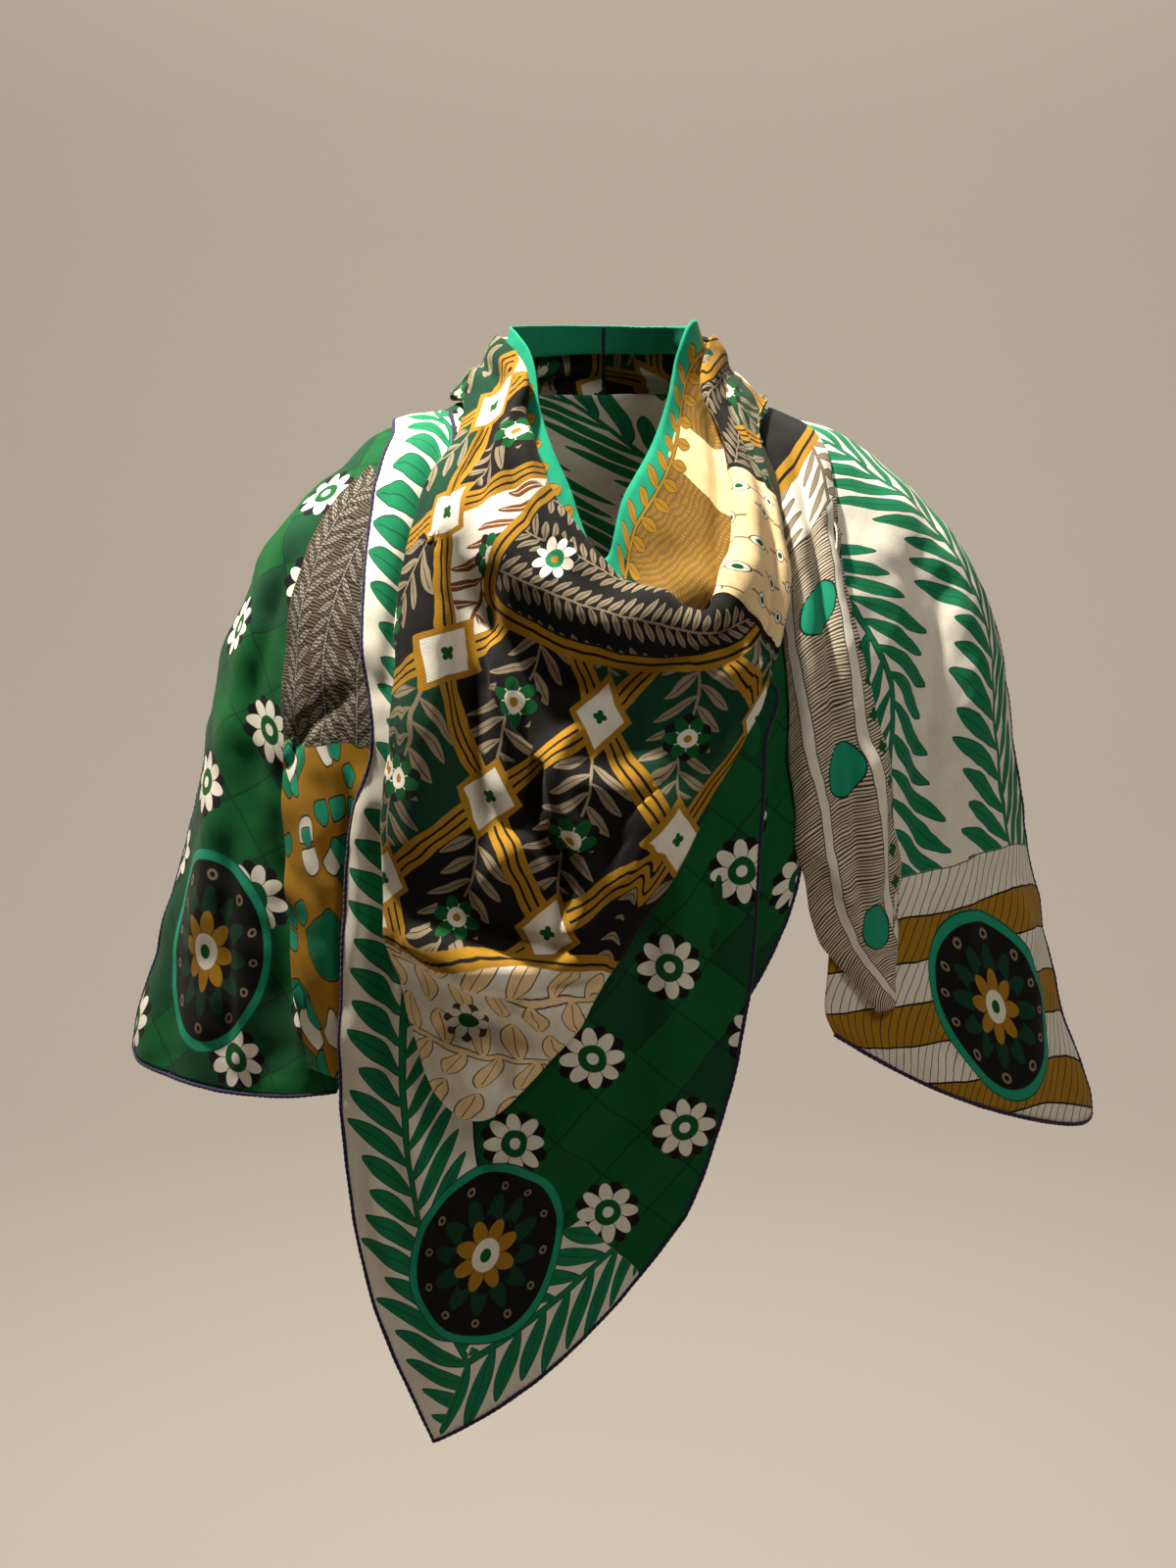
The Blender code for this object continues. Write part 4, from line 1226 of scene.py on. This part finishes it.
class ShawlColours(PropertyGroup):
    """Printing colours."""

    ivory: hue("Ivory", "Ground of the leaf borders", (0.72, 0.68, 0.58))
    black: hue("Black", "Ground of the lattice", (0.0060, 0.0052, 0.0048))
    ochre: hue("Ochre", "Bands of the lattice", (0.33, 0.166, 0.010))
    leaf_green: hue("Leaf green", "Leaf sprigs", (0.006, 0.170, 0.070))
    tile_green: hue("Tile green", "Ground of the tiles", (0.002, 0.080, 0.018))
    deep_green: hue("Deep green", "Dark tiles and cells", (0.004, 0.038, 0.018))
    teal: hue("Teal", "Rims and the inner collar", (0.010, 0.270, 0.150))
    apricot: hue("Apricot", "Ground of the beads", (0.78, 0.57, 0.31))
    rust: hue("Rust", "Pen hatching on gold", (0.16, 0.050, 0.010))
    grey_brown: hue("Grey brown", "Small leaves", (0.23, 0.18, 0.115))
    pen: hue("Pen", "Pen strokes", (0.060, 0.047, 0.032))
    navy: hue("Navy", "Rolled hem", (0.020, 0.015, 0.050))


def calmed(grid, moved, seam):
    """A grid drawn onto a moved one: wholly away from a seam, not at all on it."""
    return grid + (moved - grid) * (np.clip(seam / SEAM_CALM, 0, 1) ** 2)[..., None]


def hemmed(name, *edges):
    """Rolled hem along a chain of edges, each given with the same edge a little further in."""
    path, inner = (np.concatenate(chain) for chain in zip(*edges))
    return rolled_hem(name, path, inner - path)


def one_sheet(name, grid, cloth, borders, material):
    """The creased grid of a piece made of one sheet, and its mesh object."""
    grid = creased(grid, cloth, name)
    return grid, clothed(name + "_cloth", [(grid, cloth, borders, 0)], [material])


class SHAWL_OT_neck_wrap(Operator):
    """Make the wrap round the neck: the inner turn, the rolled rim and the swag"""

    bl_idname = "shawl.neck_wrap"
    bl_label = "Neck wrap"

    def execute(self, context):
        rows_each = 4
        places = neck_places(rows_each, columns=303)
        cloth = spread_flat(on_hollow(places), rows=26, columns=61, rounds=4000)
        grid = raised(places, FOLDS["upper_drape"])
        across, down = lengths(grid)
        seam = np.minimum(across - across[:, :1], across[:, -1:] - across)
        # The creases seen from the front fade out behind.
        reach = np.clip(0.5 - grid[..., 1] / CREASE_FADE, 0, 1)
        grid = calmed(grid, creased(grid, cloth, "neck_wrap", PLEATS, reach), seam)
        grid[:, [0, -1]] = grid[:, [0, -1]].mean(axis=1, keepdims=True)
        counts = np.array(NECK_ROWS) * rows_each
        numbers = np.repeat(NECK_PRINTS, counts)
        low = down[[-counts[-1]]] - down
        piece = clothed(
            "neck_wrap_cloth", [(grid, cloth, chart(down, low), numbers)],
            [collar_print(), roll_print(), drape_print()])
        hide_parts("collar_left", "collar_right", "cowl_roll", "upper_drape", "nape_wrap")
        hem = hemmed("neck_wrap_hem", (grid[:, 0], grid[:, 2]))
        return {"FINISHED"}


class SHAWL_OT_front_point(Operator):
    """Make the front corner and its hem"""

    bl_idname = "shawl.front_point"
    bl_label = "Front corner"

    def execute(self, context):
        places = hanging_places(FRONT_POINT, rows_each=14, columns=110)
        cloth = spread_flat(on_hollow(places), rows=40, columns=16, rounds=1500)
        grid = raised(places, FOLDS["front_point"])
        across, down = lengths(grid)
        borders = chart(across, down[-1:] - down)
        grid, piece = one_sheet("front_point", grid, cloth, borders, front_corner_print())
        hem = hemmed(
            "front_point_hem", (grid[:, -1], grid[:, -3]), (grid[-1, -2::-1], grid[-3, -2::-1]),
            (grid[-2::-1, 0], grid[-2::-1, 2]))
        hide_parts("front_point")
        return {"FINISHED"}


class SHAWL_OT_under_layer(Operator):
    """Make the layer that shows beside the front corner"""

    bl_idname = "shawl.under_layer"
    bl_label = "Layer beneath"

    def execute(self, context):
        grid = on_hollow(hanging_places(UNDER_LAYER, rows_each=12, columns=36))
        across, down = lengths(grid)
        cloth = chart(across - across[:, -1:], down)
        grid, piece = one_sheet("under_layer", grid, cloth, cloth, under_layer_print())
        hem = hemmed("under_layer_hem", (grid[:, -1], grid[:, -3]), (grid[-1, -2::-1], grid[-3, -2::-1]))
        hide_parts("under_layer")
        return {"FINISHED"}


class SHAWL_OT_shoulder_cape(Operator):
    """Make the cloth over both shoulders and across the back, with its long hem"""

    bl_idname = "shawl.shoulder_cape"
    bl_label = "Shoulders and back"

    def execute(self, context):
        rows_each, columns, back_columns = 16, 88, 201
        left = raised(hanging_places(SHOULDER_LEFT, rows_each, columns), FOLDS["shoulder_left"])
        right = raised(hanging_places(SHOULDER_RIGHT, rows_each, columns), FOLDS["shoulder_right"])
        back = raised(hanging_places(BACK_DRAPE, rows_each, back_columns), FOLDS["back_drape"])
        back = joined_edges(back, left, right, reach=40)
        across, down = lengths(left)
        left_cloth, left_hem = chart(across, down), chart(across, down[-1:] - down)
        left = creased(left, left_cloth, "shoulder_left")
        left = tugged(left, (-1, 0), (-9.0, 0.0, -13.0), CORNER_REACH)
        across, down = lengths(right)
        right_cloth = chart(across - across[:, -1:], down)
        right_hem = chart(across[:, -1:] - across, down[-1:] - down)
        right = creased(right, right_cloth, "shoulder_right")
        right = tugged(right, (-1, -1), (10.0, 0.0, -12.0), CORNER_REACH)
        across, down = lengths(back)
        # The print changes at this column of the back.
        change = 146
        seam = np.abs(across - across[:, [change]])
        signed = np.where(np.arange(back_columns) <= change, across, across - across[:, -1:])
        back = calmed(back, creased(back, chart(signed, down), "back_drape"), seam)
        back = joined_edges(back, left, right, reach=4)
        low = down[-1:] - down
        panels = [
            (left, left_cloth, left_hem, 0),
            (right, right_cloth, right_hem, 1),
        ]
        for number, part, start in ((2, np.s_[:, :change + 1], 0), (3, np.s_[:, change:], across[:, -1:])):
            panels.append((
                back[part], chart(across - start, down)[part], chart(seam, low)[part], number))
        piece = clothed("shoulder_cape_cloth", panels, [
            left_shoulder_print(), right_shoulder_print(), back_leaf_print(), back_tile_print()])
        count = len(back)
        hem = hemmed(
            "shoulder_cape_hem", (left[-1, ::-1], left[-3, ::-1]),
            (left[-2:count - 1:-1, 0], left[-2:count - 1:-1, 2]), (back[-1, ::-1], back[-3, ::-1]),
            (right[count:, -1], right[count:, -3]), (right[-1, -2::-1], right[-3, -2::-1]))
        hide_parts("shoulder_left", "shoulder_right", "back_drape")
        return {"FINISHED"}


class SHAWL_OT_strip_left(Operator):
    """Make the folded strip that hangs over the left shoulder"""

    bl_idname = "shawl.strip_left"
    bl_label = "Left strip"

    def execute(self, context):
        grid = on_hollow(hanging_places(STRIP_LEFT, rows_each=14, columns=32))
        grid = turned_edge(grid, False, radius=1.3, tuck=9.0)
        cloth = chart(*lengths(grid))
        _, piece = one_sheet("strip_left", grid, cloth, cloth, strip_print())
        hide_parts("strip_left")
        return {"FINISHED"}


class SHAWL_OT_bundle_right(Operator):
    """Make the gathered end that hangs over the right shoulder"""

    bl_idname = "shawl.bundle_right"
    bl_label = "Right bundle"

    def execute(self, context):
        grid = on_hollow(hanging_places(BUNDLE_RIGHT, rows_each=12, columns=44))
        for at_end in (True, False):
            grid = turned_edge(grid, at_end, radius=1.2, tuck=6.0)
        cloth = chart(*lengths(grid))
        _, piece = one_sheet("bundle_right", grid, cloth, cloth, bundle_print())
        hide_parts("bundle_right")
        return {"FINISHED"}


def aimed(name, data, place, target):
    """A light or camera in the scene, at a place in metres and turned towards a target."""
    holder = bpy.data.objects.new(name, data)
    holder.location = place
    holder.rotation_euler = (Vector(target) - Vector(place)).to_track_quat("-Z", "Y").to_euler()
    bpy.context.scene.collection.objects.link(holder)
    return holder


def soft_light(name, place, target, size, power, colour):
    """Square area light at a place in metres, aimed at a target."""
    lamp = bpy.data.lights.new(name, "AREA")
    lamp.shape = "SQUARE"
    lamp.size = size
    lamp.energy = power
    lamp.color = colour
    aimed(name, lamp, place, target)


class SHAWL_OT_stage(Operator):
    """Make the pale floor, the studio light and the camera"""

    bl_idname = "shawl.stage"
    bl_label = "Stage"

    def execute(self, context):
        # Profile of the floor and its upswept rim: flat, then a quarter circle, then straight up.
        turn = np.radians(np.linspace(0, 90, 13))
        reach = np.concatenate([
            [0.0, FLOOR_FLAT / 2], FLOOR_FLAT + FLOOR_CURVE * np.sin(turn), [FLOOR_FLAT + FLOOR_CURVE]])
        height = np.concatenate([[0.0, 0.0], FLOOR_CURVE - FLOOR_CURVE * np.cos(turn), [FLOOR_RIM]])
        around = np.radians(np.linspace(0, 360, 97))
        reach, height = reach[:, None], height[:, None] - FLOOR_DROP
        grid = chart(reach * np.sin(around), -reach * np.cos(around), height)
        mesh = welded_mesh("studio_floor", grid.reshape(-1, 3), quads_of(grid), 0.001)
        paint = bpy.data.materials.new("studio_floor")
        paint.use_nodes = True
        shader = paint.node_tree.nodes["Principled BSDF"]
        shader.inputs["Base Color"].default_value = FLOOR_COLOUR
        shader.inputs["Roughness"].default_value = 0.95
        shader.inputs["Specular IOR Level"].default_value = 0.1
        mesh.materials.append(paint)
        floor = bpy.data.objects.new("studio_floor", mesh)
        context.scene.collection.objects.link(floor)
        world = bpy.data.worlds.new("studio_air")
        world.use_nodes = True
        air = world.node_tree.nodes["Background"]
        air.inputs["Color"].default_value = WORLD_COLOUR
        air.inputs["Strength"].default_value = WORLD_STRENGTH
        context.scene.world = world
        context.scene.view_settings.view_transform = "Standard"
        for light in LIGHTS:
            soft_light(*light)
        eye = bpy.data.cameras.new("front_camera")
        eye.sensor_width = CAMERA_SENSOR
        eye.lens = CAMERA_LENS
        elevation = np.radians(CAMERA_ELEVATION)
        away = Vector((0.0, -np.cos(elevation), np.sin(elevation))) * CAMERA_DISTANCE
        camera = aimed("front_camera", eye, Vector(CAMERA_TARGET) + away, CAMERA_TARGET)
        context.scene.camera = camera
        return {"FINISHED"}


class SHAWL_PT_panel(Panel):
    """Sizes, colours and pieces of the shawl"""

    bl_label = "Shawl"
    bl_idname = "SHAWL_PT_panel"
    bl_space_type = "VIEW_3D"
    bl_region_type = "UI"
    bl_category = "Shawl"

    def draw(self, context):
        for store in (context.scene.shawl_sizes, context.scene.shawl_colours):
            box = self.layout.box()
            for label in store.__annotations__:
                box.prop(store, label)
        for operator in OPERATORS:
            self.layout.operator(operator.bl_idname)


OPERATORS = (
    SHAWL_OT_neck_wrap, SHAWL_OT_front_point, SHAWL_OT_under_layer, SHAWL_OT_shoulder_cape,
    SHAWL_OT_strip_left, SHAWL_OT_bundle_right, SHAWL_OT_stage,
)
CLASSES = (ShawlSizes, ShawlColours, *OPERATORS, SHAWL_PT_panel)


def register():
    """Add the shawl's properties, operators and panel."""
    for item in CLASSES:
        bpy.utils.register_class(item)
    bpy.types.Scene.shawl_sizes = PointerProperty(type=ShawlSizes)
    bpy.types.Scene.shawl_colours = PointerProperty(type=ShawlColours)


def unregister():
    """Take them away again."""
    del bpy.types.Scene.shawl_colours
    del bpy.types.Scene.shawl_sizes
    for item in reversed(CLASSES):
        bpy.utils.unregister_class(item)


def main():
    register()
    bpy.ops.shawl.shoulder_cape()
    bpy.ops.shawl.strip_left()
    bpy.ops.shawl.bundle_right()
    bpy.ops.shawl.front_point()
    bpy.ops.shawl.under_layer()
    bpy.ops.shawl.neck_wrap()
    bpy.ops.shawl.stage()


if __name__ == "__main__":
    main()
